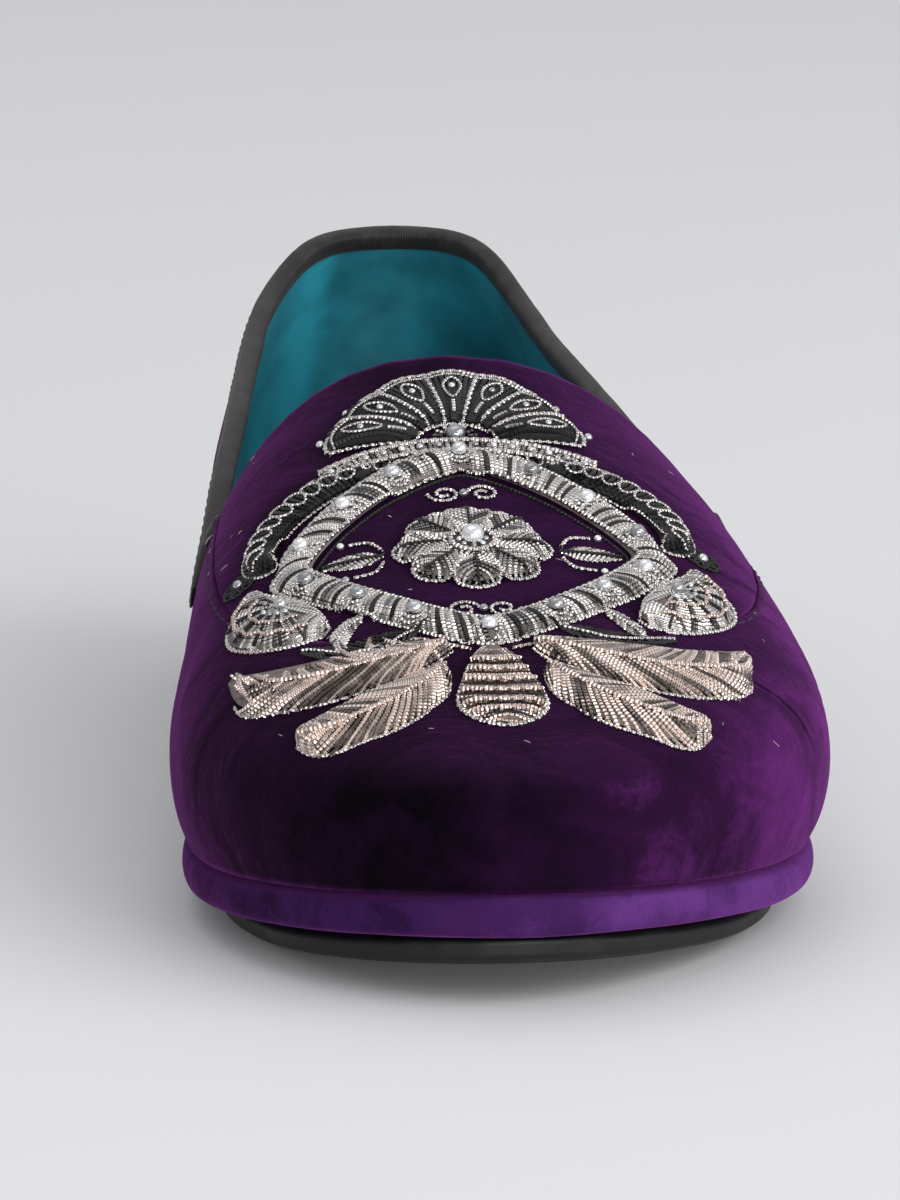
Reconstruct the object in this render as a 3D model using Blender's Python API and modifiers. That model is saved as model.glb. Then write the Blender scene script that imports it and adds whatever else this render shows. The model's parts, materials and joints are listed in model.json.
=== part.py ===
"""Velvet slipper loafer: a left shoe with an apron tongue, a bound collar, a covered platform and a low heel.

Metres, +Z up. The toe points along -Y and the shoe's inner side is towards -X.
The origin lies on the floor, under the middle of the shoe's bounding box.
Run it with blender --background --python part.py, or from Blender's text editor.
"""

import functools
import math

import bmesh
import bpy
import numpy as np
from mathutils import Vector

MM = 0.001
OUTER, INNER = 1, -1  # the two sides of a left shoe, along X

# Sole unit
LENGTH = 281 * MM
BALL_WIDTH = 105 * MM
OUTSOLE_THICKNESS = 3.8 * MM
OUTSOLE_INSET = 6 * MM  # the outsole's edge lies behind the platform's
OUTSOLE_ROUND = 0.8 * MM
MIDSOLE_THICKNESS = 7 * MM
MIDSOLE_ROUND = 2.2 * MM
HEEL_LIFT = 10 * MM
HEEL_LENGTH = 72 * MM
HEEL_TAPER = 1.6 * MM
HEEL_TOP_PIECE = 3.5 * MM
HEEL_BREAST_CURVE = 4 * MM
TOE_SPRING = 7.5 * MM
INSOLE_THICKNESS = 3 * MM
INSOLE_ROUND = 0.8 * MM

# Upper
WALL = 1.8 * MM
FEATHER_INSET = 1.2 * MM  # the upper's lower edge lies inside the platform's edge
INSTEP_HEIGHT = 68 * MM  # ridge above the feather line at the instep
COLLAR_HEIGHT = 56 * MM  # collar above the feather line at the heel
BELLY_HEIGHT = 17 * MM
OVERHANG = 3 * MM
TUCK_ANGLE = math.radians(62)

# Tongue and binding
TONGUE_WALL = 2.0 * MM
TONGUE_RISE = 1.2 * MM  # how far the free edge stands off the last
NOTCH_WIDTH = 3.5 * MM
BINDING_BAND = 3.8 * MM
BINDING_INSIDE = 2.8 * MM
BINDING_WALL = 0.7 * MM

# Padded embroidery
PAD_LIFT = 1.6 * MM

FIT_GAP = 0.3 * MM

# The platform's outline, counter-clockwise from the back of the heel, as shares of LENGTH and BALL_WIDTH
OUTLINE = (
    # along, across
    (0.000, 0.000),
    (0.022, 0.155),
    (0.085, 0.268),
    (0.180, 0.310),
    (0.300, 0.340),
    (0.420, 0.395),
    (0.540, 0.445),
    (0.660, 0.488),
    (0.770, 0.488),
    (0.870, 0.397),
    (0.945, 0.240),
    (0.988, 0.090),
    (1.000, -0.050),
    (0.986, -0.180),
    (0.940, -0.325),
    (0.865, -0.440),
    (0.770, -0.495),
    (0.655, -0.468),
    (0.540, -0.425),
    (0.420, -0.370),
    (0.300, -0.335),
    (0.180, -0.310),
    (0.085, -0.270),
    (0.022, -0.160),
)

# The last's ridge: its place across as a share of BALL_WIDTH, its height as a share of INSTEP_HEIGHT
RIDGE = (
    # along, across, height
    (0.00, 0.000, 1.20),
    (0.14, 0.000, 1.26),
    (0.30, 0.000, 1.18),
    (0.42, -0.010, 1.04),
    (0.50, -0.020, 0.935),
    (0.60, -0.030, 0.83),
    (0.70, -0.035, 0.70),
    (0.80, -0.035, 0.57),
    (0.87, -0.035, 0.47),
    (0.94, -0.040, 0.37),
    (1.00, -0.050, 0.30),
)
HEEL_POLE = 0.13
TOE_POLE = 0.87

# Forms of the wall: fullness is the exponent of the arch, overhang and belly are shares of OVERHANG and BELLY_HEIGHT
SECTIONS = (
    # along, fullness outer, fullness inner, overhang outer, overhang inner, belly
    (0.00, 2.00, 2.00, 1.10, 1.10, 1.30),
    (0.10, 1.28, 1.42, 0.60, 1.50, 1.20),
    (0.30, 1.50, 1.50, 0.90, 1.70, 1.10),
    (0.45, 1.98, 2.12, 1.10, 1.40, 1.00),
    (0.60, 2.30, 2.48, 1.05, 0.90, 0.90),
    (0.75, 2.30, 2.30, 1.25, 1.00, 0.80),
    (0.90, 2.50, 2.50, 0.95, 0.90, 0.75),
    (1.00, 2.80, 2.80, 0.60, 0.60, 0.75),
)
BELLY_SHARE = 0.22  # of the way from feather line to ridge

# Collar height above the feather line, as a share of COLLAR_HEIGHT
COLLAR = (
    # along, height
    (0.00, 1.01),
    (0.03, 0.99),
    (0.08, 0.88),
    (0.17, 0.76),
    (0.28, 0.67),
    (0.38, 0.61),
    (0.46, 0.54),
    (0.51, 0.47),
)
EAR_ALONG = 0.525  # station of the notch's front leg
EAR_PHI = 0.53  # its top, on the scale where the ridge is 0 and the feather line is 1
SEAM_ALONG = 0.83  # where the apron's seam crosses the ridge
SEAM_FORM = 2.3
TONGUE_ALONG = 0.485  # where the tongue's free edge crosses the ridge
TONGUE_FORM = 2.2
CORNER_ANGLE = math.radians(7)
CREST_START = 0.517  # where the embroidery begins on the ridge, at the top of its fan
CREST_END = 0.929  # where it ends, at the foot of its bell

# How far the outsole's edge lies behind the platform's, as a share of OUTSOLE_INSET
SOLE_EDGE = (
    # along, inset
    (0.00, 0.45),
    (0.20, 0.60),
    (0.42, 1.10),
    (0.65, 1.10),
    (0.80, 1.10),
    (0.92, 0.70),
    (1.00, 0.42),
)

# The embroidery's centre lines and half widths, as shares of its reach, which follows from where it starts and
# ends on the ridge. Along grows towards the toe. The rows are for the outer side, and the inner side mirrors them.
UPPER_LEAF = (
    # across, along, half width
    (0.16, 0.80, 0.020),
    (0.30, 0.87, 0.100),
    (0.46, 0.92, 0.145),
    (0.62, 0.93, 0.160),
    (0.78, 0.88, 0.145),
    (0.91, 0.77, 0.095),
    (0.98, 0.64, 0.020),
)
LOWER_LEAF = (
    # across, along, half width
    (0.19, 1.00, 0.020),
    (0.27, 1.12, 0.095),
    (0.38, 1.22, 0.135),
    (0.51, 1.29, 0.145),
    (0.64, 1.31, 0.120),
    (0.76, 1.26, 0.030),
)
SIDE_BUD = (
    # across, along, half width
    (0.60, 0.53, 0.030),
    (0.68, 0.47, 0.110),
    (0.77, 0.38, 0.150),
    (0.84, 0.27, 0.150),
    (0.87, 0.14, 0.105),
    (0.85, 0.04, 0.030),
)
CURL = (
    # across, along, half width
    (0.34, -0.62, 0.025),
    (0.47, -0.61, 0.065),
    (0.60, -0.56, 0.085),
    (0.72, -0.47, 0.090),
    (0.80, -0.35, 0.085),
    (0.81, -0.22, 0.060),
    (0.75, -0.16, 0.020),
)
BELL = (
    # across, along, half width
    (0.00, 0.84, 0.030),
    (0.00, 0.92, 0.080),
    (0.00, 1.03, 0.110),
    (0.00, 1.16, 0.150),
    (0.00, 1.28, 0.160),
    (0.00, 1.38, 0.110),
    (0.00, 1.43, 0.030),
)
PALMETTE_FOOT = -0.86  # its place along
PALMETTE_RADII = (0.15, 0.52)
PALMETTE_TURN = math.radians(84)
PALMETTE_LOBES = 7
LOZENGE_REACH = 0.70
LOZENGE_FORM = 1.3
LOZENGE_HALF_WIDTH = 0.075
ROSETTE_RADIUS = 0.30
ROSETTE_PETALS = 8

# Across a strip: place as a share of its half width, height as a share of PAD_LIFT
PAD_SECTION = (
    # across, height
    (-1.00, 0.00),
    (-0.50, 0.00),
    (0.00, 0.00),
    (0.50, 0.00),
    (1.00, 0.00),
    (1.00, 0.35),
    (0.65, 0.85),
    (0.00, 1.00),
    (-0.65, 0.85),
    (-1.00, 0.35),
)

# Under side of the outsole: the waist runs from the heel's breast to the forefoot's flat
WAIST_END = 0.60
SPRING_START = 0.72

# Mesh steps, as counts but for the last
COUNT_HEEL_FAN = 8
COUNT_QUARTER = 13
COUNT_SEAM = 10
COUNT_VAMP = 3
COUNT_TOE_FAN = 9
COUNT_WALL = 10
COUNT_TONGUE = 10
COUNT_PALMETTE = 29
COUNT_LOZENGE = 32
SHEET_STEP = 3 * MM

SLOTS = {
    # slot: colour, roughness, metallic
    "velvet": ((0.085, 0.012, 0.165), 0.85, 0.0),
    "platform_velvet": ((0.115, 0.016, 0.26), 0.85, 0.0),
    "binding": ((0.022, 0.020, 0.020), 0.6, 0.0),
    "sole_black": ((0.016, 0.016, 0.015), 0.55, 0.0),
    "lining_teal": ((0.010, 0.115, 0.135), 0.4, 0.0),
    "silver_wire": ((0.62, 0.56, 0.51), 0.35, 0.9),
    "dark_wire": ((0.12, 0.11, 0.10), 0.4, 0.8),
    "rose_wire": ((0.58, 0.43, 0.36), 0.35, 0.9),
}


def clear_scene():
    for obj in list(bpy.data.objects):
        bpy.data.objects.remove(obj)


def material(slot):
    made = bpy.data.materials.get(slot)
    if made is None:
        colour, roughness, metallic = SLOTS[slot]
        made = bpy.data.materials.new(slot)
        made.use_nodes = True
        shader = made.node_tree.nodes["Principled BSDF"]
        shader.inputs["Base Color"].default_value = (*colour, 1)
        shader.inputs["Roughness"].default_value = roughness
        shader.inputs["Metallic"].default_value = metallic
    return made


def table(rows, along, column):
    """A table's column at a share of the length, on a smooth curve through its rows."""
    xs = [row[0] for row in rows]
    ys = [row[column] for row in rows]
    along = min(max(along, xs[0]), xs[-1])
    i = min(max(int(np.searchsorted(xs, along)) - 1, 0), len(xs) - 2)

    def slope(k):
        a, b = max(k - 1, 0), min(k + 1, len(xs) - 1)
        return (ys[b] - ys[a]) / (xs[b] - xs[a])

    span = xs[i + 1] - xs[i]
    t = (along - xs[i]) / span
    t2, t3 = t * t, t * t * t
    return (
        (2 * t3 - 3 * t2 + 1) * ys[i]
        + (t3 - 2 * t2 + t) * span * slope(i)
        + (3 * t2 - 2 * t3) * ys[i + 1]
        + (t3 - t2) * span * slope(i + 1)
    )


def ease(value, start, end):
    """0 before start, 1 after end, and a smooth step between them."""
    t = min(max((value - start) / (end - start), 0), 1)
    return t * t * (3 - 2 * t)


def place_along(share):
    """Y of a share of the length, from the back of the heel to the toe."""
    return (0.5 - share) * LENGTH


def share_of(y):
    return 0.5 - y / LENGTH


@functools.lru_cache(maxsize=None)
def platform_outline(steps=12):
    """The platform's outline as a closed, dense polygon: a Catmull-Rom curve through OUTLINE."""
    points = [np.array((across * BALL_WIDTH, place_along(along))) for along, across in OUTLINE]
    dense = []
    count = len(points)
    for i in range(count):
        a, b, c, d = (points[(i + k) % count] for k in (-1, 0, 1, 2))
        for k in range(steps):
            t = k / steps
            dense.append(
                b
                + 0.5 * t * (c - a)
                + t * t * (a - 2.5 * b + 2 * c - 0.5 * d)
                + t**3 * (1.5 * (b - c) + 0.5 * (d - a))
            )
    return np.array(dense)


def inset(outline, distance):
    """A closed outline moved inwards along its normals."""
    tangents = np.roll(outline, -1, axis=0) - np.roll(outline, 1, axis=0)
    tangents /= np.linalg.norm(tangents, axis=1)[:, None]
    normals = np.stack((tangents[:, 1], -tangents[:, 0]), axis=1)
    area = np.sum(outline[:, 0] * np.roll(outline[:, 1], -1) - outline[:, 1] * np.roll(outline[:, 0], -1))
    return outline - normals * distance * math.copysign(1, area)


@functools.lru_cache(maxsize=None)
def feather_outline():
    return inset(platform_outline(), FEATHER_INSET)


@functools.lru_cache(maxsize=None)
def sole_outline(extra=0.0):
    """The outsole's outline, which is narrower at the waist and the ball than at toe and heel."""
    outline = platform_outline()
    distance = [table(SOLE_EDGE, share_of(y), 1) * OUTSOLE_INSET + extra for y in outline[:, 1]]
    return inset(outline, np.array(distance)[:, None])


def reach(outline, centre, direction):
    """How far the outline lies from a point inside it, along a direction."""
    a = outline - centre
    b = np.roll(outline, -1, axis=0) - centre
    side_a = direction[0] * a[:, 1] - direction[1] * a[:, 0]
    side_b = direction[0] * b[:, 1] - direction[1] * b[:, 0]
    crossing = np.nonzero((side_a <= 0) != (side_b <= 0))[0]
    share = side_a[crossing] / (side_a[crossing] - side_b[crossing])
    hits = a[crossing] + (b - a)[crossing] * share[:, None]
    return max(float(h @ direction) for h in hits)


def spine(along):
    """The plan point under the ridge; the stations near heel and toe fan out from its two poles."""
    pole = min(max(along, HEEL_POLE), TOE_POLE)
    return np.array((table(RIDGE, pole, 1) * BALL_WIDTH, place_along(pole)))


class Station:
    """One place round the shoe: a plan point on the spine, a direction and the distance to the feather line."""

    def __init__(self, along, side, turn=0.0):
        self.along, self.side = along, side
        self.centre = spine(along)
        end = math.copysign(1, 0.5 - along)  # +1 at the heel, where Y is positive
        self.direction = np.array((side * math.cos(turn), end * math.sin(turn)))
        self.reach = reach(feather_outline(), self.centre, self.direction)
        self.edge_along = share_of((self.centre + self.direction * self.reach)[1])

    def form(self, column):
        return table(SECTIONS, self.edge_along, column)

    def skin(self, t):
        """The upper's outer surface at share t of the way from the feather line to the ridge."""
        outside = self.side == OUTER
        fullness = self.form(1 if outside else 2)
        overhang = self.form(3 if outside else 4) * OVERHANG
        belly = self.form(5) * BELLY_HEIGHT
        if t < BELLY_SHARE:
            turn = (1 - t / BELLY_SHARE) * TUCK_ANGLE
            out = self.reach + overhang * (math.cos(turn) - math.cos(TUCK_ANGLE)) / (1 - math.cos(TUCK_ANGLE))
            plan = self.centre + self.direction * out
            rise = belly * (1 - math.sin(turn) / math.sin(TUCK_ANGLE))
        else:
            turn = (t - BELLY_SHARE) / (1 - BELLY_SHARE) * math.pi / 2
            out = (self.reach + overhang) * max(math.cos(turn), 0) ** (2 / fullness)
            plan = self.centre + self.direction * out
            ridge = table(RIDGE, share_of(plan[1]), 2) * INSTEP_HEIGHT
            rise = belly + (ridge - belly) * math.sin(turn) ** (2 / fullness)
        return Vector((plan[0], plan[1], feather_height(share_of(plan[1])) + rise))

    def collar(self):
        """The share t at which the quarter's wall reaches the collar."""
        height = table(COLLAR, self.edge_along, 1) * COLLAR_HEIGHT
        low, high = 0.0, 1.0
        for _ in range(30):
            t = (low + high) / 2
            point = self.skin(t)
            if point.z - feather_height(share_of(point.y)) < height:
                low = t
            else:
                high = t
        return low


def sole_height(along):
    """The outsole's under side above the floor: heel seat, waist, flat forefoot and toe spring."""
    breast = HEEL_LENGTH / LENGTH
    waist = 1 - ease(along, breast, WAIST_END)
    spring = max(along - SPRING_START, 0) / (1 - SPRING_START)
    return HEEL_LIFT * waist + TOE_SPRING * spring * spring


def feather_height(along):
    return sole_height(along) + OUTSOLE_THICKNESS + FIT_GAP + MIDSOLE_THICKNESS + FIT_GAP


def station_at(along, phi):
    """The station and share t of a place given on the scale where the ridge is 0 and the feather line is 1."""
    return Station(along, OUTER if phi >= 0 else INNER), 1 - abs(phi)


def skin(along, phi, lift=0.0):
    """A point on the upper between its poles, moved outwards by lift."""
    step = 1e-3

    def at(a, p):
        station, t = station_at(a, p)
        return station.skin(t)

    point = at(along, phi)
    if lift:
        lengthwise = at(along + step, phi) - at(along - step, phi)
        crosswise = at(along, min(phi + step, 1)) - at(along, max(phi - step, -1))
        point += crosswise.cross(lengthwise).normalized() * lift
    return point


def seam_place(turn, side, gap=0.0):
    """A point (along, phi) of the apron's seam: turn runs from 0 at the ear to a quarter turn at the ridge."""
    shape = 2 / SEAM_FORM
    span = SEAM_ALONG - EAR_ALONG - gap / LENGTH
    width = EAR_PHI - gap / (BALL_WIDTH / 2)
    return EAR_ALONG + span * math.sin(turn) ** shape, side * width * max(math.cos(turn), 0) ** shape


def edge_place(turn, side):
    """A point (along, phi) of the tongue's free edge, on the same scale as seam_place."""
    shape = 2 / TONGUE_FORM
    back = (EAR_ALONG - TONGUE_ALONG) * math.sin(turn) ** shape
    return EAR_ALONG - back, side * EAR_PHI * max(math.cos(turn), 0) ** shape


def side_stations(side):
    """Stations down one side from the back of the heel to the tip of the toe, with the t of each one's top."""
    made = []
    for k in range(COUNT_HEEL_FAN):
        station = Station(HEEL_POLE, side, math.pi / 2 * (1 - k / COUNT_HEEL_FAN))
        made.append((station, station.collar()))
    notch = EAR_ALONG - NOTCH_WIDTH / LENGTH
    for k in range(COUNT_QUARTER + 1):
        station = Station(HEEL_POLE + (notch - HEEL_POLE) * k / COUNT_QUARTER, side)
        made.append((station, station.collar()))
    for k in range(COUNT_SEAM):
        along, phi = seam_place(math.pi / 2 * k / COUNT_SEAM, side)
        made.append((Station(along, side), 1 - abs(phi)))
    for k in range(COUNT_VAMP + 1):
        made.append((Station(SEAM_ALONG + (TOE_POLE - SEAM_ALONG) * k / COUNT_VAMP, side), 1.0))
    for k in range(1, COUNT_TOE_FAN + 1):
        made.append((Station(TOE_POLE, side, math.pi / 2 * k / COUNT_TOE_FAN), 1.0))
    return made


@functools.lru_cache(maxsize=None)
def all_stations():
    """The closed round of stations: heel, outer side, toe, inner side."""
    return tuple(side_stations(OUTER) + side_stations(INNER)[-2:0:-1])


def plan_ring(outline):
    """One plan point for each station, on an outline."""
    return [s.centre + s.direction * reach(outline, s.centre, s.direction) for s, _ in all_stations()]


def add_mesh(name, slot, points, faces):
    """A welded, smooth-shaded mesh object with outward faces."""
    mesh = bpy.data.meshes.new(name)
    mesh.from_pydata([tuple(p) for p in points], [], faces)
    build = bmesh.new()
    build.from_mesh(mesh)
    bmesh.ops.remove_doubles(build, verts=build.verts, dist=1e-6)
    bmesh.ops.dissolve_degenerate(build, edges=build.edges, dist=1e-7)
    bmesh.ops.recalc_face_normals(build, faces=build.faces)
    build.to_mesh(mesh)
    build.free()
    mesh.shade_smooth()
    mesh.set_sharp_from_angle(angle=math.radians(40))
    mesh.materials.append(material(slot))
    obj = bpy.data.objects.new(name, mesh)
    bpy.data.collections["slipper"].objects.link(obj)
    return obj


def grid_faces(columns, rows, closed=False):
    """Quads of a grid whose points are listed column by column."""
    wrap = columns if closed else columns - 1
    return [
        (c * rows + r, (c + 1) % columns * rows + r, (c + 1) % columns * rows + r + 1, c * rows + r + 1)
        for c in range(wrap)
        for r in range(rows - 1)
    ]


def thicken(obj, thickness):
    """Gives an open surface a wall on its inner side."""
    solidify = obj.modifiers.new("wall", "SOLIDIFY")
    solidify.thickness = thickness
    solidify.offset = -1
    solidify.use_even_offset = True
    solidify.use_rim = True
    return obj


def face_outwards(obj, inside):
    """Turns an open surface's faces away from a point inside the shoe."""
    mesh = obj.data
    score = sum((Vector(f.center) - inside).dot(f.normal) * f.area for f in mesh.polygons)
    if score < 0:
        mesh.flip_normals()
    return obj


def make_upper():
    """Vamp and quarters: one wall from the feather line to the collar, the notches and the apron's seam."""
    rows = COUNT_WALL + 1
    points = [station.skin(top * r / COUNT_WALL) for station, top in all_stations() for r in range(rows)]
    obj = add_mesh("upper", "velvet", points, grid_faces(len(all_stations()), rows, closed=True))
    return thicken(face_outwards(obj, Vector((0, 0, INSTEP_HEIGHT / 2))), WALL)


def tongue_rise(along):
    """How far the tongue stands off the last: nothing on the apron, and all of it at the free edge."""
    return TONGUE_RISE * ease(EAR_ALONG + 0.03 - along, 0, 0.08)


def tongue_turns():
    """The turns of the seam's stations, from the outer ear over the ridge to the inner ear."""
    turns = [math.pi / 2 * k / COUNT_SEAM for k in range(1, COUNT_SEAM)]
    one_side = [CORNER_ANGLE] + turns
    return (
        [(turn, OUTER) for turn in one_side]
        + [(math.pi / 2, OUTER)]
        + [(turn, INNER) for turn in reversed(one_side)]
    )


def make_tongue():
    """The apron and the free tongue behind it: one flap from the seam to its round free edge."""
    rows = COUNT_TONGUE + 1
    points = []
    for turn, side in tongue_turns():
        seam = np.array(seam_place(turn, side, FIT_GAP))
        edge = np.array(edge_place(turn, side))
        for r in range(rows):
            share = r / COUNT_TONGUE
            along, phi = seam + (edge - seam) * share
            points.append(skin(along, phi, tongue_rise(along)))
    obj = add_mesh("tongue", "velvet", points, grid_faces(len(tongue_turns()), rows))
    return thicken(face_outwards(obj, Vector((0, 0, 0))), TONGUE_WALL)


def collar_stations():
    """The quarters' stations from the outer notch round the heel to the inner notch."""
    last = COUNT_HEEL_FAN + COUNT_QUARTER
    outer = side_stations(OUTER)[: last + 1]
    inner = side_stations(INNER)[1 : last + 1]
    return outer[::-1] + inner


def make_binding():
    """The tape folded over the collar, from notch to notch round the heel."""
    stations = collar_stations()
    near, far = FIT_GAP, FIT_GAP + BINDING_WALL
    rim = [station.skin(top) for station, top in stations]
    sections = []
    for i, (station, top) in enumerate(stations):
        before, after = rim[max(i - 1, 0)], rim[min(i + 1, len(rim) - 1)]
        ahead = (after - before).normalized()

        def frame(down):
            """A point of the wall below the rim, with the wall's outward and upward directions there."""
            step = 0.01
            speed = (station.skin(top) - station.skin(top - step)).length / step
            t = top - down / speed
            up = (station.skin(t + step) - station.skin(t - step)).normalized()
            out = ahead.cross(up).normalized()
            if out.dot(Vector((*station.direction, 0))) < 0:
                out = -out
            return station.skin(t), out, up

        point, out, up = frame(0)
        low, low_out, _ = frame(BINDING_BAND)
        half, half_out, _ = frame(BINDING_BAND / 2)
        inside, inside_out, _ = frame(BINDING_INSIDE)
        sections.append([
            low + low_out * near,
            low + low_out * far,
            half + half_out * far,
            point + out * far,
            point + out * far * 0.4 + up * far * 0.8,
            point - out * WALL / 2 + up * far,
            point - out * (WALL + far * 0.4) + up * far * 0.8,
            point - out * (WALL + far),
            inside - inside_out * (WALL + far),
            inside - inside_out * (WALL + near),
            point - out * (WALL + near) + up * near,
            point + out * near + up * near,
            half + half_out * near,
        ])
    count = len(sections[0])
    points = [p for section in sections for p in section]
    faces = [
        (s * count + k, (s + 1) * count + k, (s + 1) * count + (k + 1) % count, s * count + (k + 1) % count)
        for s in range(len(sections) - 1)
        for k in range(count)
    ]
    for first in (0, (len(sections) - 1) * count):
        outside = ((0, 1, 2, 12), (12, 2, 3, 11))
        strips = outside + ((11, 3, 4), (11, 4, 5), (11, 5, 10), (10, 5, 6), (10, 6, 7), (10, 7, 8, 9))
        faces += [tuple(first + k for k in strip) for strip in strips]
    return add_mesh("collar_binding", "binding", points, faces)


def make_slab(name, slot, rings):
    """A closed slab through rings of the same stations, capped by strips from side to side."""
    count = len(rings[0])
    points = [p for ring in rings for p in ring]
    faces = [
        (r * count + k, r * count + (k + 1) % count, (r + 1) * count + (k + 1) % count, (r + 1) * count + k)
        for r in range(len(rings) - 1)
        for k in range(count)
    ]
    for first in (0, (len(rings) - 1) * count):
        for k in range(count // 2):
            quad = (k, k + 1, count - k - 1, (count - k) % count)
            faces.append(tuple(first + q for q in dict.fromkeys(quad)))
    return add_mesh(name, slot, points, faces)


def level_ring(outline, height):
    """A ring over an outline, whose height is a function of the share of the length."""
    return [Vector((x, y, height(share_of(y)))) for x, y in plan_ring(outline)]


def platform_ring(distance, height):
    return level_ring(inset(platform_outline(), distance), height)


def make_midsole():
    """The velvet-covered platform: a slab with a rounded side."""
    def low(share):
        return sole_height(share) + OUTSOLE_THICKNESS + FIT_GAP

    def at(part):
        return lambda share: low(share) + MIDSOLE_THICKNESS * part

    side = ((MIDSOLE_ROUND, 0.0), (MIDSOLE_ROUND * 0.3, 0.14), (0.0, 0.45), (MIDSOLE_ROUND * 0.25, 0.85))
    rings = [platform_ring(distance, at(part)) for distance, part in side]
    rings.append(platform_ring(MIDSOLE_ROUND * 0.8, at(1.0)))
    return make_slab("midsole", "platform_velvet", rings)


def make_outsole():
    def at(part):
        return lambda share: sole_height(share) + OUTSOLE_THICKNESS * part

    side = ((OUTSOLE_ROUND * 2, 0.0), (0.0, 0.25), (0.0, 1.0))
    return make_slab("outsole", "sole_black", [level_ring(sole_outline(d), at(part)) for d, part in side])


def make_insole():
    """The footbed inside the upper's wall."""
    edge = FEATHER_INSET + WALL + FIT_GAP

    def at(part):
        return lambda share: feather_height(share) + INSOLE_THICKNESS * part

    side = ((edge, 0.0), (edge, 0.75), (edge + INSOLE_ROUND, 1.0))
    return make_slab("insole", "lining_teal", [platform_ring(d, at(part)) for d, part in side])


def heel_ring(distance, height):
    """The heel's outline at an inset: the sole's back end closed by the curved breast."""
    outline = sole_outline(distance)
    front = place_along((HEEL_LENGTH - distance) / LENGTH)
    ring = []
    steps = 9
    for side in (OUTER, INNER):
        arc = []
        centre = spine(HEEL_POLE)
        for k in range(steps):
            direction = np.array((side * math.sin(math.pi / 2 * k / steps), math.cos(math.pi / 2 * k / steps)))
            arc.append(centre + direction * reach(outline, centre, direction))
        for k in range(steps // 2 + 1):
            y = place_along(HEEL_POLE) + (front - place_along(HEEL_POLE)) * k / (steps // 2)
            level = np.array((centre[0], y))
            arc.append(level + np.array((side, 0)) * reach(outline, level, np.array((side, 0))))
        ring.append(arc)
    outer, inner = ring
    breast = []
    for k in range(1, steps):
        share = k / steps
        point = outer[-1] + (inner[-1] - outer[-1]) * share
        breast.append(point + np.array((0, HEEL_BREAST_CURVE * math.sin(math.pi * share))))
    loop = outer + breast + inner[:0:-1]
    return [Vector((x, y, height)) for x, y in loop]


def make_heel_piece(name, low, high, inset_low, inset_high):
    """One layer of the heel, a prism with a slight taper."""
    rings = [heel_ring(inset_low, low), heel_ring(inset_high, high)]
    count = len(rings[0])
    points = rings[0] + rings[1]
    faces = [(k, (k + 1) % count, count + (k + 1) % count, count + k) for k in range(count)]
    faces += [tuple(range(count)), tuple(range(count, 2 * count))]
    return add_mesh(name, "sole_black", points, faces)


def make_heel():
    """The low stacked heel: a block under the outsole and its top piece on the floor."""
    top = HEEL_LIFT - FIT_GAP
    split = HEEL_TAPER * HEEL_TOP_PIECE / HEEL_LIFT
    make_heel_piece("heel_top_piece", 0.0, HEEL_TOP_PIECE, HEEL_TAPER, HEEL_TAPER - split)
    make_heel_piece("heel_block", HEEL_TOP_PIECE + FIT_GAP, top, HEEL_TAPER - split, 0.0)


def over(x, y):
    """The upper's outer surface straight above a plan point of the instep or the toe."""
    pole = spine(TOE_POLE)
    along = share_of(y)
    centre = spine(along)
    side = OUTER if x >= centre[0] else INNER
    turn = math.atan2(pole[1] - y, abs(x - pole[0])) if along > TOE_POLE else 0.0
    station = Station(min(along, TOE_POLE), side, turn)
    outside = side == OUTER
    width = station.reach + station.form(3 if outside else 4) * OVERHANG
    ratio = min(math.hypot(*(np.array((x, y)) - station.centre)) / width, 1.0)
    rise = math.acos(ratio ** (station.form(1 if outside else 2) / 2)) / (math.pi / 2)
    return station.skin(BELLY_SHARE + (1 - BELLY_SHARE) * rise)


def walk(start, step, distances):
    """Points at given distances along the surface from a plan point, walking in one plan direction."""
    place, walked, found = np.array(start), 0.0, []
    least = np.linalg.norm(step)  # keeps the walk going past the wall's widest place
    last = over(*place)
    for distance in distances:
        while walked < distance:
            following = over(*(place + step))
            length = max((following - last).length, least)
            if walked + length > distance:
                place = place + step * (distance - walked) / length
                last, walked = over(*place), distance
            else:
                place, last, walked = place + step, following, walked + length
        found.append(last.copy())
    return found


def ridge_length(start, end):
    """The length of the ridge between two stations."""
    steps = 40
    line = [over(*spine_line(start + (end - start) * k / steps)) for k in range(steps + 1)]
    return sum((b - a).length for a, b in zip(line, line[1:]))


def spine_line(along):
    """The plan point under the ridge, carried on straight past the toe's pole."""
    return np.array((spine(along)[0], place_along(along)))


@functools.lru_cache(maxsize=None)
def crest_size():
    """The embroidery's centre, from the tongue's free edge, and its reach, the unit of its own places."""
    above = PALMETTE_RADII[1] - PALMETTE_FOOT
    below = BELL[-1][1]
    unit = ridge_length(CREST_START, CREST_END) / (above + below)
    return ridge_length(TONGUE_ALONG, CREST_START) + above * unit, unit


@functools.lru_cache(maxsize=None)
def crest_sheet():
    """The surface under the embroidery: rows along the ridge, each walked out to both sides."""
    centre, unit = crest_size()
    count = int((centre + unit * 1.6) / SHEET_STEP)
    start = spine_line(TONGUE_ALONG)
    ridge = walk(start, np.array((0, -SHEET_STEP / 4)), [SHEET_STEP * k for k in range(count)])
    columns = [SHEET_STEP * k for k in range(int(unit * 1.1 / SHEET_STEP) + 2)]
    rows = []
    for point in ridge:
        middle = np.array((spine(share_of(point.y))[0], point.y))
        sides = [walk(middle, np.array((side * SHEET_STEP / 4, 0)), columns) for side in (INNER, OUTER)]
        rows.append(sides[0][:0:-1] + sides[1])
    return rows


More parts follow.
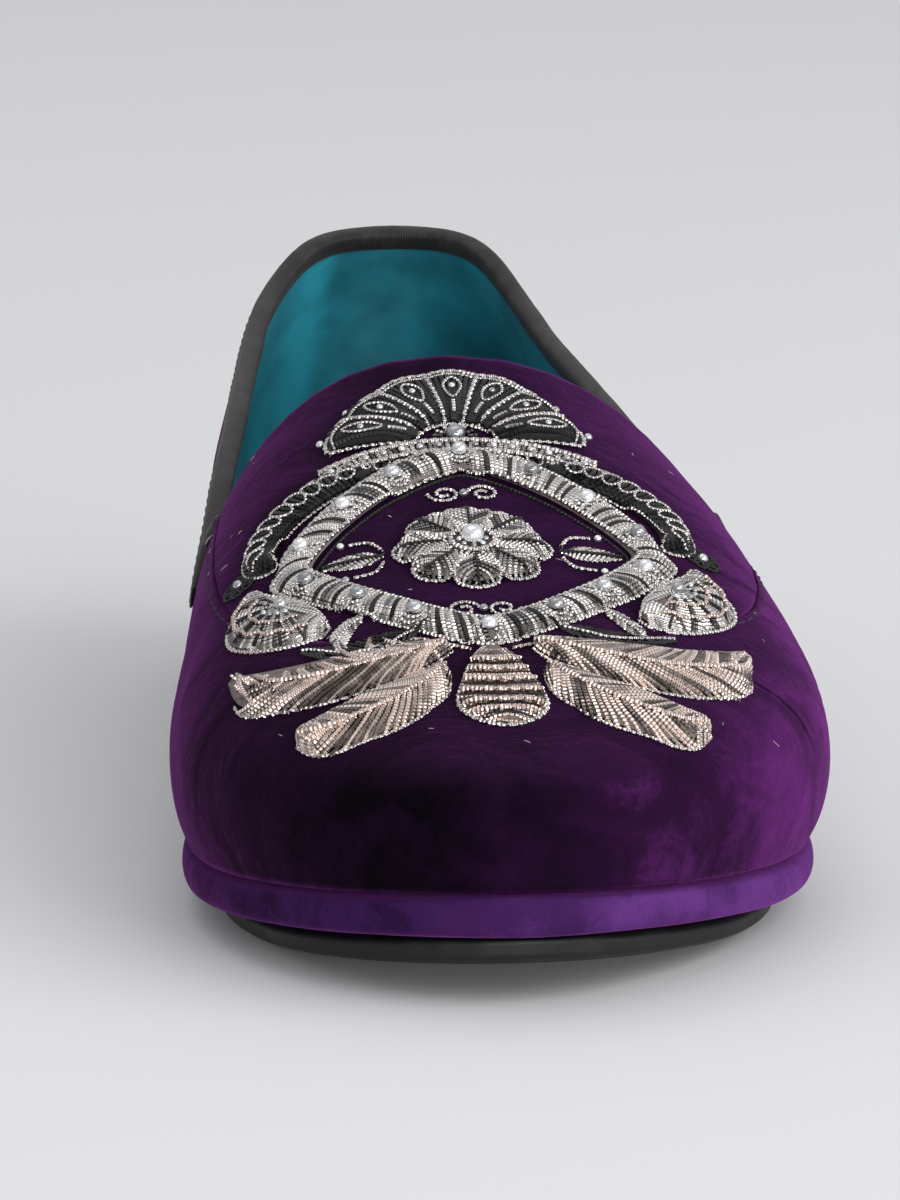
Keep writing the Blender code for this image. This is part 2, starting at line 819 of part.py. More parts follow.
def crest_point(across, along, lift):
    """A point over the vamp from the embroidery's own coordinates, as shares of its reach."""
    rows = crest_sheet()
    centre, unit = crest_size()
    half = len(rows[0]) // 2
    c = across * unit / SHEET_STEP + half
    r = (centre + along * unit) / SHEET_STEP
    i, j = min(max(int(r), 0), len(rows) - 2), min(max(int(c), 1), len(rows[0]) - 3)
    u, v = r - i, c - j
    lower = rows[i][j].lerp(rows[i][j + 1], v)
    upper = rows[i + 1][j].lerp(rows[i + 1][j + 1], v)
    across_way = rows[i][j + 1].lerp(rows[i + 1][j + 1], u) - rows[i][j].lerp(rows[i + 1][j], u)
    normal = (upper - lower).cross(across_way).normalized()
    if normal.z < 0:
        normal = -normal
    point = lower.lerp(upper, u)
    return point + normal * (lift + tongue_rise(share_of(point.y)))


def make_strip(name, slot, rows, closed=False):
    """A padded strip of embroidery along rows of (across, along, half width)."""
    count = len(rows)
    points = []
    for k, (across, along, width) in enumerate(rows):
        before = rows[k - 1] if closed or k else rows[k]
        after = rows[(k + 1) % count] if closed or k < count - 1 else rows[k]
        ahead = np.array(after[:2]) - np.array(before[:2])
        ahead = ahead / np.linalg.norm(ahead)
        for place, height in PAD_SECTION:
            spot = np.array((across, along)) + np.array((-ahead[1], ahead[0])) * width * place
            points.append(crest_point(*spot, FIT_GAP + PAD_LIFT * height))
    size = len(PAD_SECTION)
    faces = [
        (s * size + k, (s + 1) % count * size + k, (s + 1) % count * size + (k + 1) % size, s * size + (k + 1) % size)
        for s in range(count if closed else count - 1)
        for k in range(size)
    ]
    if not closed:
        faces += [tuple(first + k for k in range(size)) for first in (0, (count - 1) * size)]
    return add_mesh(name, slot, points, faces)


def make_rosette():
    """A round flower: rings of points round a centre, above and below."""
    count = ROSETTE_PETALS * 3
    rings = ((1.00, 0.00), (1.00, 0.35), (0.80, 0.90), (0.45, 0.75))
    points, faces = [], []
    for share, height in rings:
        for k in range(count):
            turn = 2 * math.pi * k / count
            radius = ROSETTE_RADIUS * share * (0.93 + 0.07 * math.cos(ROSETTE_PETALS * turn) * share)
            spot = (radius * math.sin(turn), radius * math.cos(turn))
            points.append(crest_point(*spot, FIT_GAP + PAD_LIFT * height))
    for r in range(len(rings) - 1):
        for k in range(count):
            n = (k + 1) % count
            faces.append((r * count + k, r * count + n, (r + 1) * count + n, (r + 1) * count + k))
    inner = [len(points) + k for k in range(count)]
    for k in range(count):
        turn = 2 * math.pi * k / count
        spot = (ROSETTE_RADIUS / 2 * math.sin(turn), ROSETTE_RADIUS / 2 * math.cos(turn))
        points.append(crest_point(*spot, FIT_GAP))
    under, above = len(points), len(points) + 1
    points += [crest_point(0, 0, FIT_GAP), crest_point(0, 0, FIT_GAP + PAD_LIFT)]
    top = (len(rings) - 1) * count
    for k in range(count):
        n = (k + 1) % count
        faces += [(k, n, inner[n], inner[k]), (inner[k], inner[n], under), (top + k, top + n, above)]
    return add_mesh("rosette", "silver_wire", points, faces)


def palmette_rows():
    """The fan's centre line, an arc round its foot, with a half width that follows the lobes."""
    inner, outer = PALMETTE_RADII
    middle = (inner + outer) / 2
    rows = []
    for k in range(COUNT_PALMETTE):
        turn = PALMETTE_TURN * (2 * k / (COUNT_PALMETTE - 1) - 1)
        lobe = abs(math.cos(PALMETTE_LOBES / 2 * math.pi * turn / PALMETTE_TURN))
        width = (outer - inner) / 2 * (0.86 + 0.14 * lobe)
        rows.append((middle * math.sin(turn), PALMETTE_FOOT - middle * math.cos(turn), width))
    return rows


def lozenge_rows():
    rows = []
    for k in range(COUNT_LOZENGE):
        turn = 2 * math.pi * k / COUNT_LOZENGE
        c, s = math.cos(turn), math.sin(turn)
        radius = LOZENGE_REACH / (abs(c) ** LOZENGE_FORM + abs(s) ** LOZENGE_FORM) ** (1 / LOZENGE_FORM)
        rows.append((radius * s, radius * c, LOZENGE_HALF_WIDTH))
    return rows


def make_embroidery():
    """The padded pieces on the vamp: a fan over a lozenge with a flower, and curls, buds and leaves round it."""
    make_strip("palmette", "dark_wire", palmette_rows())
    make_strip("lozenge", "silver_wire", lozenge_rows(), closed=True)
    make_rosette()
    make_strip("bell", "rose_wire", BELL)
    pairs = (
        ("curl", "dark_wire", CURL),
        ("side_bud", "silver_wire", SIDE_BUD),
        ("upper_leaf", "rose_wire", UPPER_LEAF),
        ("lower_leaf", "rose_wire", LOWER_LEAF),
    )
    for name, slot, rows in pairs:
        for side, word in ((OUTER, "outer"), (INNER, "inner")):
            make_strip(f"{name}_{word}", slot, [(side * a, b, w) for a, b, w in rows])


def centre_on_origin():
    """Moves every piece so that the shoe's box stands centred on the origin."""
    bpy.context.view_layer.update()
    graph = bpy.context.evaluated_depsgraph_get()
    objects = list(bpy.data.collections["slipper"].objects)
    corners = [Vector(c) for obj in objects for c in obj.evaluated_get(graph).bound_box]
    middle = [(min(c[i] for c in corners) + max(c[i] for c in corners)) / 2 for i in range(2)]
    for obj in objects:
        for vertex in obj.data.vertices:
            vertex.co.x -= middle[0]
            vertex.co.y -= middle[1]


def build():
    clear_scene()
    collection = bpy.data.collections.new("slipper")
    bpy.context.scene.collection.children.link(collection)
    make_upper()
    make_tongue()
    make_binding()
    make_midsole()
    make_outsole()
    make_insole()
    make_heel()
    make_embroidery()
    centre_on_origin()


build()
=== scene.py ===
"""Looks of a velvet slipper: velvet covers, a satin lining, a bound collar, bullion embroidery and a studio.

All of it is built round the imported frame, in metres, +Z up. The toe points along -Y, and the shoe's inner
side is towards -X. Run it in Blender as a script; the sidebar's Slipper tab then lists its pieces.
"""

import json
import math
import random

import bmesh
import bpy
import numpy as np
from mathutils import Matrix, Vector, noise
from mathutils.bvhtree import BVHTree

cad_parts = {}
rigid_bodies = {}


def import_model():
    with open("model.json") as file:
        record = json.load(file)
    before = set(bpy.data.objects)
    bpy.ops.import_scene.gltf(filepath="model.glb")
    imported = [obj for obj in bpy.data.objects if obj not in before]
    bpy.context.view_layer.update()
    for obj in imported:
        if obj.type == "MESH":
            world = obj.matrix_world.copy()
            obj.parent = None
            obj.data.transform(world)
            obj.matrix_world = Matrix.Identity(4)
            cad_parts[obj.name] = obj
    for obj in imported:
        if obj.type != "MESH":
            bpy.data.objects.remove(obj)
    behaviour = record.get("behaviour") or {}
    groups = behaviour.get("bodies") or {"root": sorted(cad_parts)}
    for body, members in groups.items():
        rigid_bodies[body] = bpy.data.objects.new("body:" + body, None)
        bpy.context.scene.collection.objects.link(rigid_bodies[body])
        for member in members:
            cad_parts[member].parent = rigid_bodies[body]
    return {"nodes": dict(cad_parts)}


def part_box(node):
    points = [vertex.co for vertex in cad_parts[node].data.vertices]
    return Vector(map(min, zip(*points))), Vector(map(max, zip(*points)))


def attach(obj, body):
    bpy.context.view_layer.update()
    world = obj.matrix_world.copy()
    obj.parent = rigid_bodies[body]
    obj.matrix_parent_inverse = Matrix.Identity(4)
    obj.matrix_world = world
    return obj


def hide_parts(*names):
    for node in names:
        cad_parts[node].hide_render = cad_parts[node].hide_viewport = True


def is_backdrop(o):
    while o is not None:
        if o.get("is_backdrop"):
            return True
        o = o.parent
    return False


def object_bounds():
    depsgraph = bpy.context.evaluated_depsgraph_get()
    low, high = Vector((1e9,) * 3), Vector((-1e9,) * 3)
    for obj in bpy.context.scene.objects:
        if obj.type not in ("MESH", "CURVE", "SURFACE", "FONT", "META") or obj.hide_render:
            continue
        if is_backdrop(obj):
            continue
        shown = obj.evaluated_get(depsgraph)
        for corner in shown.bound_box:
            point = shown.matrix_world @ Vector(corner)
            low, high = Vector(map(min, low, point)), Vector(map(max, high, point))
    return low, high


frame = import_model()

bl_info = {
    "name": "Velvet slipper looks",
    "version": (1, 0, 0),
    "blender": (4, 5, 0),
    "location": "3D View > Sidebar > Slipper",
    "description": "Dresses the slipper's frame with velvet, satin, tape and bullion embroidery",
    "category": "Object",
}

MM = 0.001
FULL_TURN = 2 * math.pi
OUTER, INNER = 1, -1  # the two sides of a left shoe, along X
SIDES = ((OUTER, "outer"), (INNER, "inner"))
CAD_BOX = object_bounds()
ABOVE = 0.2  # a height over the whole shoe, from which rays look straight down
DOWN = Vector((0, 0, -1))

# Places along the shoe, as shares of the platform's length from the back of the heel
PLATFORM_LOW, PLATFORM_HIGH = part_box("midsole")
PLATFORM_LENGTH = PLATFORM_HIGH.y - PLATFORM_LOW.y
HEEL_POLE = 0.13
TOE_POLE = 0.87
NOTCH = 0.513
EAR = 0.525
TONGUE_EDGE = 0.485
APRON_SEAM = 0.26  # how far the apron's stitches run on from the ear
HEEL_ROUND = 36 * MM  # radius of the collar round the heel
LAST_MIDDLE = 35 * MM  # a height inside the shoe, halfway up its walls
RIDGE_LINE = (
    # along, across in mm from the platform's centre line
    (0.00, 0.0), (0.30, 0.0), (0.42, -1.05), (0.50, -2.10), (0.60, -3.15), (0.70, -3.68), (1.00, -3.68),
)

# The embroidery's coordinates: shares of its reach, across from the ridge and along towards the toe
CREST_CENTRE = 69 * MM  # along the ridge from the tongue's free edge
CREST_REACH = 42.95 * MM
CREST_STEP = 1.5 * MM
CREST_GRID = (1.16, 1.62)  # how far the grid of its surface goes, across and along
# Rows of the motifs: across, along, half width
LEAF_ROWS = {
    "upper_leaf": (
        (0.16, 0.80, 0.020), (0.30, 0.87, 0.100), (0.46, 0.92, 0.145), (0.62, 0.93, 0.160),
        (0.78, 0.88, 0.145), (0.91, 0.77, 0.095), (0.98, 0.64, 0.020),
    ),
    "lower_leaf": (
        (0.19, 1.00, 0.020), (0.27, 1.12, 0.095), (0.38, 1.22, 0.135),
        (0.51, 1.29, 0.145), (0.64, 1.31, 0.120), (0.76, 1.26, 0.030),
    ),
}
BUD_ROWS = (
    (0.60, 0.53, 0.030), (0.68, 0.47, 0.110), (0.77, 0.38, 0.150),
    (0.84, 0.27, 0.150), (0.87, 0.14, 0.105), (0.85, 0.04, 0.030),
)
CURL_ROWS = (
    (0.34, -0.62, 0.025), (0.47, -0.61, 0.065), (0.60, -0.56, 0.085), (0.72, -0.47, 0.090),
    (0.80, -0.35, 0.085), (0.81, -0.22, 0.060), (0.75, -0.16, 0.020),
)
BELL_ROWS = (
    (0.00, 0.84, 0.030), (0.00, 0.92, 0.080), (0.00, 1.03, 0.110), (0.00, 1.16, 0.150),
    (0.00, 1.28, 0.160), (0.00, 1.38, 0.110), (0.00, 1.43, 0.030),
)
SPRAY_ROWS = ((0.33, 0.0, 0.012), (0.41, 0.0, 0.055), (0.49, 0.0, 0.050), (0.57, 0.0, 0.012))
LACE_ROWS = (
    (0.10, -0.66, 0.030), (0.22, -0.70, 0.050), (0.36, -0.74, 0.055),
    (0.50, -0.72, 0.050), (0.62, -0.68, 0.020),
)
LONG_SPRIG = (
    (0.22, 0.60, 0.010), (0.36, 0.66, 0.050), (0.50, 0.69, 0.055), (0.64, 0.66, 0.030), (0.72, 0.62, 0.010),
)
SHORT_SPRIG = ((0.44, 0.44, 0.01), (0.50, 0.50, 0.035), (0.56, 0.60, 0.04), (0.60, 0.66, 0.01))
BAR_REACHES = (-0.52, -0.3, -0.1, 0.1, 0.3, 0.52)
FAN_FOOT = -0.86
FAN_RADII = (0.15, 0.52)
FAN_TURN = math.radians(84)
FAN_LOBES = 7
LOZENGE_REACH = 0.70
LOZENGE_FORM = 1.3  # 1 is a lozenge with straight sides, and 2 is a circle
LOZENGE_HALF_WIDTH = 0.075
LOZENGE_THREADS = 210
LOZENGE_STONES = 14
ROSETTE_PETALS = 8
PETAL_REACH = (0.09, 0.30)
PETAL_HALF_WIDTH = 0.088
PETAL_WIDTHS = ((0.0, 0.25), (0.25, 0.65), (0.55, 1.0), (0.85, 0.8), (1.0, 0.2))

# The padding's two finishes, by node
DARK_MOTIFS = ("palmette", "curl_outer", "curl_inner")
PALE_MOTIFS = (
    "lozenge", "rosette", "bell", "side_bud_outer", "side_bud_inner",
    "upper_leaf_outer", "upper_leaf_inner", "lower_leaf_outer", "lower_leaf_inner",
)
SILVER, CHAMPAGNE, DARK = "silver_thread", "champagne_thread", "dark_thread"
CORD_PITCH = 3.2  # length of one turn of a twisted cord, in radii
STRAND_FLAT = 0.85  # how far a strand stays round where it is pressed on its padding

# How far each velvet's surface faces the outer side where its painted shade is deepest and where its painted
# light is palest
VELVET_PAINTED_LIGHT_FACING = (-0.35, 0.95)
PLATFORM_PAINTED_LIGHT_FACING = (-1.0, 0.5)

# Soft folds of the velvet: side, both ends as (share of the length, height in mm), depth and width in mm
FOLDS = (
    (OUTER, (0.60, 46), (0.72, 26), 0.55, 5.0),
    (OUTER, (0.70, 44), (0.78, 24), 0.40, 4.0),
    (OUTER, (0.37, 30), (0.50, 24), 0.35, 5.0),
    (INNER, (0.58, 46), (0.71, 25), 0.50, 5.0),
    (INNER, (0.69, 42), (0.79, 24), 0.35, 4.0),
    (INNER, (0.35, 32), (0.48, 22), 0.30, 5.0),
    (OUTER, (0.08, 60), (0.16, 34), 0.30, 6.0),
    (INNER, (0.10, 58), (0.18, 30), 0.30, 6.0),
)

# The studio
CAMERA_PLACE = (-0.1343, -1.4485, 0.3388)  # the photo's angle and distance to the shoe
CAMERA_TARGET = (-0.002, 0.0, 0.036)
FLOOR_RADIUS = 7.0
FLOOR_RIM = 2.5
FLOOR_COLOUR = (0.74, 0.74, 0.745)
ROOM_COLOUR = (0.96, 0.97, 1, 1)
LIGHTS = (
    # name, place, target, size, and the setting that holds its power
    ("key_light", (1.30, -0.95, 0.95), (0, 0, 0.04), (2.2, 1.6), "key_power"),
    ("top_light", (-0.15, 0.25, 1.4), (0, -0.02, 0.03), (1.2, 0.9), "top_power"),
    ("front_light", (0.30, -2.1, 0.30), (0, -0.12, 0.0), (2.0, 0.45), "front_power"),
)


def length_property(name, description, default, low, high):
    """A length whose default and limits are given in millimetres."""
    return bpy.props.FloatProperty(
        name=name, description=description, default=default * MM, min=low * MM, max=high * MM,
        precision=5, unit="LENGTH",
    )


def colour_property(name, description, default):
    return bpy.props.FloatVectorProperty(
        name=name, description=description, default=default, size=3, min=0, max=1, subtype="COLOR"
    )


def power_property(name, description, default):
    return bpy.props.FloatProperty(
        name=name, description=description, default=default, min=0, max=100, subtype="POWER"
    )


class SlipperSizes(bpy.types.PropertyGroup):
    """Sizes of the slipper's fabric and thread."""

    velvet_swell: length_property("Velvet swell", "Height of the velvet's soft unevenness", 0.22, 0, 1)
    lining_crumple: length_property("Lining crumple", "Height of the lining's soft crumples", 0.55, 0, 1.2)
    purl: length_property("Purl radius", "Radius of the coiled wire that fills the embroidery", 0.5, 0.2, 1)
    cord: length_property("Cord radius", "Radius of the twisted cord round each motif", 0.5, 0.2, 1)
    bead: length_property("Bead radius", "Radius of the plain glass beads", 0.8, 0.3, 2)
    stitch: length_property("Stitch length", "Length of a stitch along seam and collar", 2.4, 1, 5)


class SlipperColours(bpy.types.PropertyGroup):
    """Colours of the slipper's fabric, thread and rubber."""

    # Painted shade and painted light: each velvet's darkest and lit colours, mixed by which way its surface
    # faces
    velvet_shaded: colour_property("Velvet, deep", "The velvet where it is darkest", (0.0040, 0.0007, 0.0055))
    velvet_lit: colour_property("Velvet, lit", "The velvet where its nap is raised", (0.085, 0.013, 0.108))
    velvet_sheen: colour_property("Velvet sheen", "The tint of the nap at a flat angle", (0.62, 0.12, 0.72))
    # The platform's painted shade and painted light, mixed by which way its surface faces
    rand_shaded: colour_property("Platform, deep", "The platform's velvet in its folds", (0.017, 0.0045, 0.032))
    rand_lit: colour_property("Platform, lit", "The platform's velvet, stretched", (0.100, 0.027, 0.165))
    satin: colour_property("Lining", "The satin inside the shoe", (0.022, 0.250, 0.330))
    tape: colour_property("Binding", "The tape folded over the collar", (0.010, 0.0085, 0.0085))
    rubber: colour_property("Sole", "The outsole and the heel", (0.006, 0.006, 0.0065))
    silver: colour_property("Silver wire", "The metal thread of frame, flower and buds", (0.80, 0.76, 0.73))
    rose: colour_property("Champagne wire", "The metal thread of leaves and bell", (0.86, 0.72, 0.65))
    black_wire: colour_property("Dark wire", "The dark thread of fan and curls", (0.030, 0.028, 0.028))


class SlipperStudio(bpy.types.PropertyGroup):
    """The studio's light and camera."""

    lens: bpy.props.FloatProperty(
        name="Lens", description="Focal length on a 36 mm sensor, along the frame's long side",
        default=262, min=50, max=600,
    )
    key_power: power_property("Key light", "Power of the large light over the shoe's outer side", 21.0)
    top_power: power_property("Top light", "Power of the light above the shoe", 3.0)
    front_power: power_property("Front light", "Power of the low light that opens the toe's shadow", 24.0)
    sky: bpy.props.FloatProperty(
        name="Room light", description="Strength of the even light from all round", default=0.64, min=0, max=5
    )


def sizes():
    return bpy.context.scene.slipper_sizes


def along_to_y(share):
    return PLATFORM_HIGH.y - share * PLATFORM_LENGTH


def y_to_along(y):
    return (PLATFORM_HIGH.y - y) / PLATFORM_LENGTH


def ridge_x(y):
    """X of the ridge over a place along the shoe."""
    shares, reaches = zip(*RIDGE_LINE)
    centre = (PLATFORM_LOW.x + PLATFORM_HIGH.x) / 2
    return centre + float(np.interp(y_to_along(y), shares, reaches)) * MM


def deselect():
    if bpy.context.mode != "OBJECT":
        bpy.ops.object.mode_set(mode="OBJECT")
    bpy.ops.object.select_all(action="DESELECT")


def pick(obj):
    """Makes one object the only selected one, and the active one."""
    deselect()
    obj.select_set(True)
    bpy.context.view_layer.objects.active = obj


def needed(name):
    obj = bpy.data.objects.get(name)
    if obj is None:
        raise RuntimeError(f"{name} is missing: its operator comes first")
    return obj


def declare(obj, slot_name, *nodes):
    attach(obj, "root")
    if nodes:
        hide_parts(*nodes)


def cover(node, name, *materials, levels=2, crease_angle=55, crease=0.6):
    """A smooth copy of a node: welded, joined into quads, its edges creased, and then subdivided."""
    obj = bpy.data.objects.new(name, frame["nodes"][node].data.copy())
    bpy.context.scene.collection.objects.link(obj)
    obj.data.materials.clear()
    pick(obj)
    bpy.ops.mesh.customdata_custom_splitnormals_clear()
    bpy.ops.object.mode_set(mode="EDIT")
    bpy.ops.mesh.select_all(action="SELECT")
    bpy.ops.mesh.remove_doubles(threshold=0.01 * MM)
    bpy.ops.mesh.tris_convert_to_quads(face_threshold=math.radians(40), shape_threshold=math.radians(60))
    if crease:
        bpy.ops.mesh.select_all(action="DESELECT")
        bpy.ops.mesh.edges_select_sharp(sharpness=math.radians(crease_angle))
        bpy.ops.transform.edge_crease(value=crease)
    bpy.ops.object.mode_set(mode="OBJECT")
    smooth = obj.modifiers.new("smooth", "SUBSURF")
    smooth.levels = smooth.render_levels = levels
    bpy.ops.object.modifier_apply(modifier=smooth.name)
    bpy.ops.object.shade_smooth()
    for material in materials:
        obj.data.materials.append(slipper_material(material))
    return obj


def raise_surface(obj, height):
    """Moves each vertex along its normal by height(place, normal), in metres."""
    count = len(obj.data.vertices)
    places, normals = np.empty(count * 3), np.empty(count * 3)
    obj.data.vertices.foreach_get("co", places)
    obj.data.vertices.foreach_get("normal", normals)
    places, normals = places.reshape(-1, 3), normals.reshape(-1, 3)
    lift = np.array([height(Vector(p), Vector(n)) for p, n in zip(places, normals)])
    obj.data.vertices.foreach_set("co", (places + normals * lift[:, None]).ravel())
    obj.data.update()


def faces_outwards(place, normal):
    """How far a normal points away from the middle of the shoe: 1 outside, -1 inside."""
    y = min(max(place.y, along_to_y(TOE_POLE)), along_to_y(HEEL_POLE))
    away = place - Vector((ridge_x(y), y, LAST_MIDDLE))
    return away.normalized().dot(normal)


def swell(place, wave, seed):
    """Smooth unevenness from -1 to 1 at a wave length in metres."""
    return noise.noise(place / wave + Vector((seed, 0, 0)))


def fold_depth(place):
    """Troughs with soft ridges beside them along the listed folds."""
    side = OUTER if place.x >= ridge_x(place.y) else INNER
    spot = np.array((place.y, place.z))
    lift = 0.0
    for fold_side, start, end, depth, width in FOLDS:
        if fold_side != side:
            continue
        a, b = (np.array((along_to_y(share), height * MM)) for share, height in (start, end))
        share = float(np.clip((spot - a) @ (b - a) / ((b - a) @ (b - a)), 0, 1))
        away = float(np.linalg.norm(spot - a - (b - a) * share)) / (width * MM)
        trough = (1 - 1.2 * away * away) * math.exp(-away * away)
        lift -= depth * MM * trough * math.sin(math.pi * (0.1 + 0.8 * share))
    return lift


def split_lining(obj, limit):
    """Gives the faces that look into the shoe the second material."""
    for face in obj.data.polygons:
        face.material_index = int(faces_outwards(face.center, face.normal) < limit)


def keep_seam_velvet(obj, neighbour):
    """Gives the cut edge beside the apron back to the velvet."""
    for face in obj.data.polygons:
        away = neighbour.find_nearest(face.center)[3]
        if face.material_index and away < 1.0 * MM and face.normal.z > -0.6:
            face.material_index = 0


def finish_material(name, colour, roughness, metallic=0.0, **sockets):
    """A new material whose plain numbers stand on the shader's own sockets."""
    if name in bpy.data.materials:
        bpy.data.materials.remove(bpy.data.materials[name])
    made = bpy.data.materials.new(name)
    made.use_nodes = True
    shader = made.node_tree.nodes["Principled BSDF"]
    shader.inputs["Base Color"].default_value = (*colour, 1)
    shader.inputs["Roughness"].default_value = roughness
    shader.inputs["Metallic"].default_value = metallic
    for key, value in sockets.items():
        shader.inputs[key.replace("_", " ").title().replace("Ior", "IOR")].default_value = value
    return made


def add_node(made, kind, inputs=None, **settings):
    """A node whose inputs are given as values, or as the sockets that feed them."""
    node = made.node_tree.nodes.new("ShaderNode" + kind)
    for key, value in settings.items():
        setattr(node, key, value)
    for key, value in (inputs or {}).items():
        if isinstance(value, bpy.types.NodeSocket):
            made.node_tree.links.new(value, node.inputs[key])
        else:
            node.inputs[key].default_value = value
    return node


def object_place(made):
    return add_node(made, "TexCoord").outputs["Object"]


def noise_value(made, place, scale, detail=2.0, distortion=0.0):
    inputs = {"Vector": place, "Scale": scale, "Detail": detail, "Distortion": distortion}
    return add_node(made, "TexNoise", inputs).outputs["Fac"]


def cross_ribs(made, scale, **settings):
    """Waves across the length of a strand or tape, read from the piece's UV map."""
    uv = add_node(made, "UVMap", uv_map="follow").outputs["UV"]
    inputs = {"Vector": uv, "Scale": scale, **settings}
    return add_node(made, "TexWave", inputs, bands_direction="X").outputs["Fac"]


def strand_tone(made):
    return add_node(made, "Attribute", attribute_name="tone").outputs["Fac"]


def spread(made, value, low, high):
    """Stretches a range of a value to 0 to 1."""
    return add_node(made, "MapRange", {"Value": value, "From Min": low, "From Max": high}).outputs["Result"]


def blend_values(made, a, b, share):
    return add_node(made, "Mix", {"Factor": share, "A": a, "B": b}).outputs["Result"]


def tinted(colour, share, extra=0.0):
    """A colour made darker or paler, up to full white."""
    return tuple(min(c * share + extra, 1) for c in colour)


def feed(made, socket, value):
    made.node_tree.links.new(value, made.node_tree.nodes["Principled BSDF"].inputs[socket])


def feed_ramp(made, socket, factor, *stops):
    """Feeds a socket with a colour ramp through (position, colour) stops."""
    node = add_node(made, "ValToRGB", {"Fac": factor})
    elements = node.color_ramp.elements
    while len(elements) < len(stops):
        elements.new(0.5)
    for element, (position, colour) in zip(elements, stops):
        element.position = position
        element.color = (*colour, 1)
    feed(made, socket, node.outputs["Color"])


def feed_bump(made, *heights):
    """Bumps laid over each other, as (height, strength, distance in millimetres)."""
    normal = None
    for height, strength, distance in heights:
        inputs = {"Height": height, "Strength": strength, "Distance": distance * MM}
        if normal:
            inputs["Normal"] = normal
        normal = add_node(made, "Bump", inputs).outputs["Normal"]
    feed(made, "Normal", normal)


def velvet(name, deep, lit, sheen, turned):
    """Velvet with painted light and shade: paler where it faces the outer side, darker where it faces away,
    and random tone.
    """
    sheen_sockets = {"sheen_weight": 0.32, "sheen_roughness": 0.32, "sheen_tint": (*sheen, 1)}
    made = finish_material(name, deep, 0.95, specular_ior_level=0.05, **sheen_sockets)
    place = object_place(made)
    patches = spread(made, noise_value(made, place, 52, 4, 1.1), 0.38, 0.62)
    strokes = spread(made, noise_value(made, place, 260, 4, 0.8), 0.35, 0.65)
    normal = add_node(made, "NewGeometry").outputs["Normal"]
    # Painted light and shade: how far the surface faces the shoe's outer side, read from its normal
    lean = spread(made, add_node(made, "SeparateXYZ", {"Vector": normal}).outputs["X"], *turned)
    grain = spread(made, noise_value(made, place, 1500, 3), 0.30, 0.70)
    marks = blend_values(made, blend_values(made, patches, strokes, 0.25), grain, 0.22)
    # The colour's mix: random tone from the marks, and painted light and shade from the facing
    nap = blend_values(made, marks, lean, 0.62)
    middle = tuple(math.sqrt(a * b) for a, b in zip(deep, lit))
    # From painted shade, mottled by random tone, up to the painted light of the lit side
    stops = ((0.10, tinted(deep, 0.25)), (0.36, tinted(deep, 1.9)), (0.63, middle), (0.94, lit))
    feed_ramp(made, "Base Color", nap, *stops)
    pile = noise_value(made, place, 3400, 2)
    feed_bump(made, (patches, 0.20, 0.8), (strokes, 0.10, 0.5), (pile, 0.55, 0.20))


def satin(name, colour):
    """Lining satin: an even colour with soft streaks, gloss and fine crumples."""
    sheen_sockets = {"sheen_weight": 0.10, "sheen_tint": (0.3, 0.9, 1, 1)}
    made = finish_material(name, colour, 0.38, specular_ior_level=0.5, **sheen_sockets)
    place = object_place(made)
    cloud = noise_value(made, place, 42, 3, 0.5)
    feed_ramp(made, "Base Color", cloud, (0.40, tinted(colour, 0.45)), (0.66, colour))
    weave = noise_value(made, place, 2600, 1)
    crumple = noise_value(made, place, 85, 2, 0.6)
    feed_bump(made, (crumple, 0.40, 2.0), (weave, 0.20, 0.06))


def tape(name, colour):
    """Ribbed tape: fine ribs across the length of the collar, a little worn."""
    sheen_sockets = {"sheen_weight": 0.12, "sheen_tint": (0.7, 0.6, 0.6, 1)}
    made = finish_material(name, colour, 0.50, specular_ior_level=0.3, **sheen_sockets)
    ribs = cross_ribs(made, 0.55, Distortion=0.4)
    wear = noise_value(made, object_place(made), 240, 4)
    feed_ramp(made, "Base Color", wear, (0.45, colour), (0.75, tinted(colour, 2.4, 0.008)))
    feed_bump(made, (ribs, 0.55, 0.14), (wear, 0.25, 0.3))


def rubber(name, colour):
    """Sole rubber: matt black with a fine stipple and a little dust."""
    made = finish_material(name, colour, 0.60, specular_ior_level=0.30)
    place = object_place(made)
    dust = noise_value(made, place, 90, 5, 0.6)
    feed_ramp(made, "Base Color", dust, (0.45, colour), (0.80, tinted(colour, 2.0, 0.006)))
    feed_ramp(made, "Roughness", dust, (0.3, (0.48,) * 3), (0.7, (0.7,) * 3))
    feed_bump(made, (noise_value(made, place, 1900, 2), 0.35, 0.10))


def wire(name, colour, roughness, metallic=1.0):
    """Coiled metal thread: fine turns along the strand, and a tone of its own for each strand."""
    made = finish_material(name, colour, roughness, metallic)
    tarnish = noise_value(made, object_place(made), 420, 4, 0.5)
    tone = blend_values(made, strand_tone(made), tarnish, 0.45)
    stops = ((0.27, tinted(colour, 0.14)), (0.58, colour), (0.9, tinted(colour, 1.15)))
    feed_ramp(made, "Base Color", tone, *stops)
    feed_bump(made, (cross_ribs(made, 0.42), 1.0, 0.24))


def glass(name, colour):
    """Bead and stone: a hard clear gloss over a bright ground."""
    made = finish_material(name, colour, 0.08, 0.75, coat_weight=1.0, coat_roughness=0.03)
    feed_ramp(made, "Base Color", strand_tone(made), (0.0, tinted(colour, 0.25)), (1.0, colour))


def felt(name, colour):
    """Matt thread and padding: fine fibres and an uneven tone."""
    made = finish_material(name, colour, 0.9)
    place = object_place(made)
    feed_ramp(made, "Base Color", noise_value(made, place, 900, 2), (0.3, tinted(colour, 0.5)), (0.7, colour))
    feed_bump(made, (noise_value(made, place, 2500, 2), 0.5, 0.2))


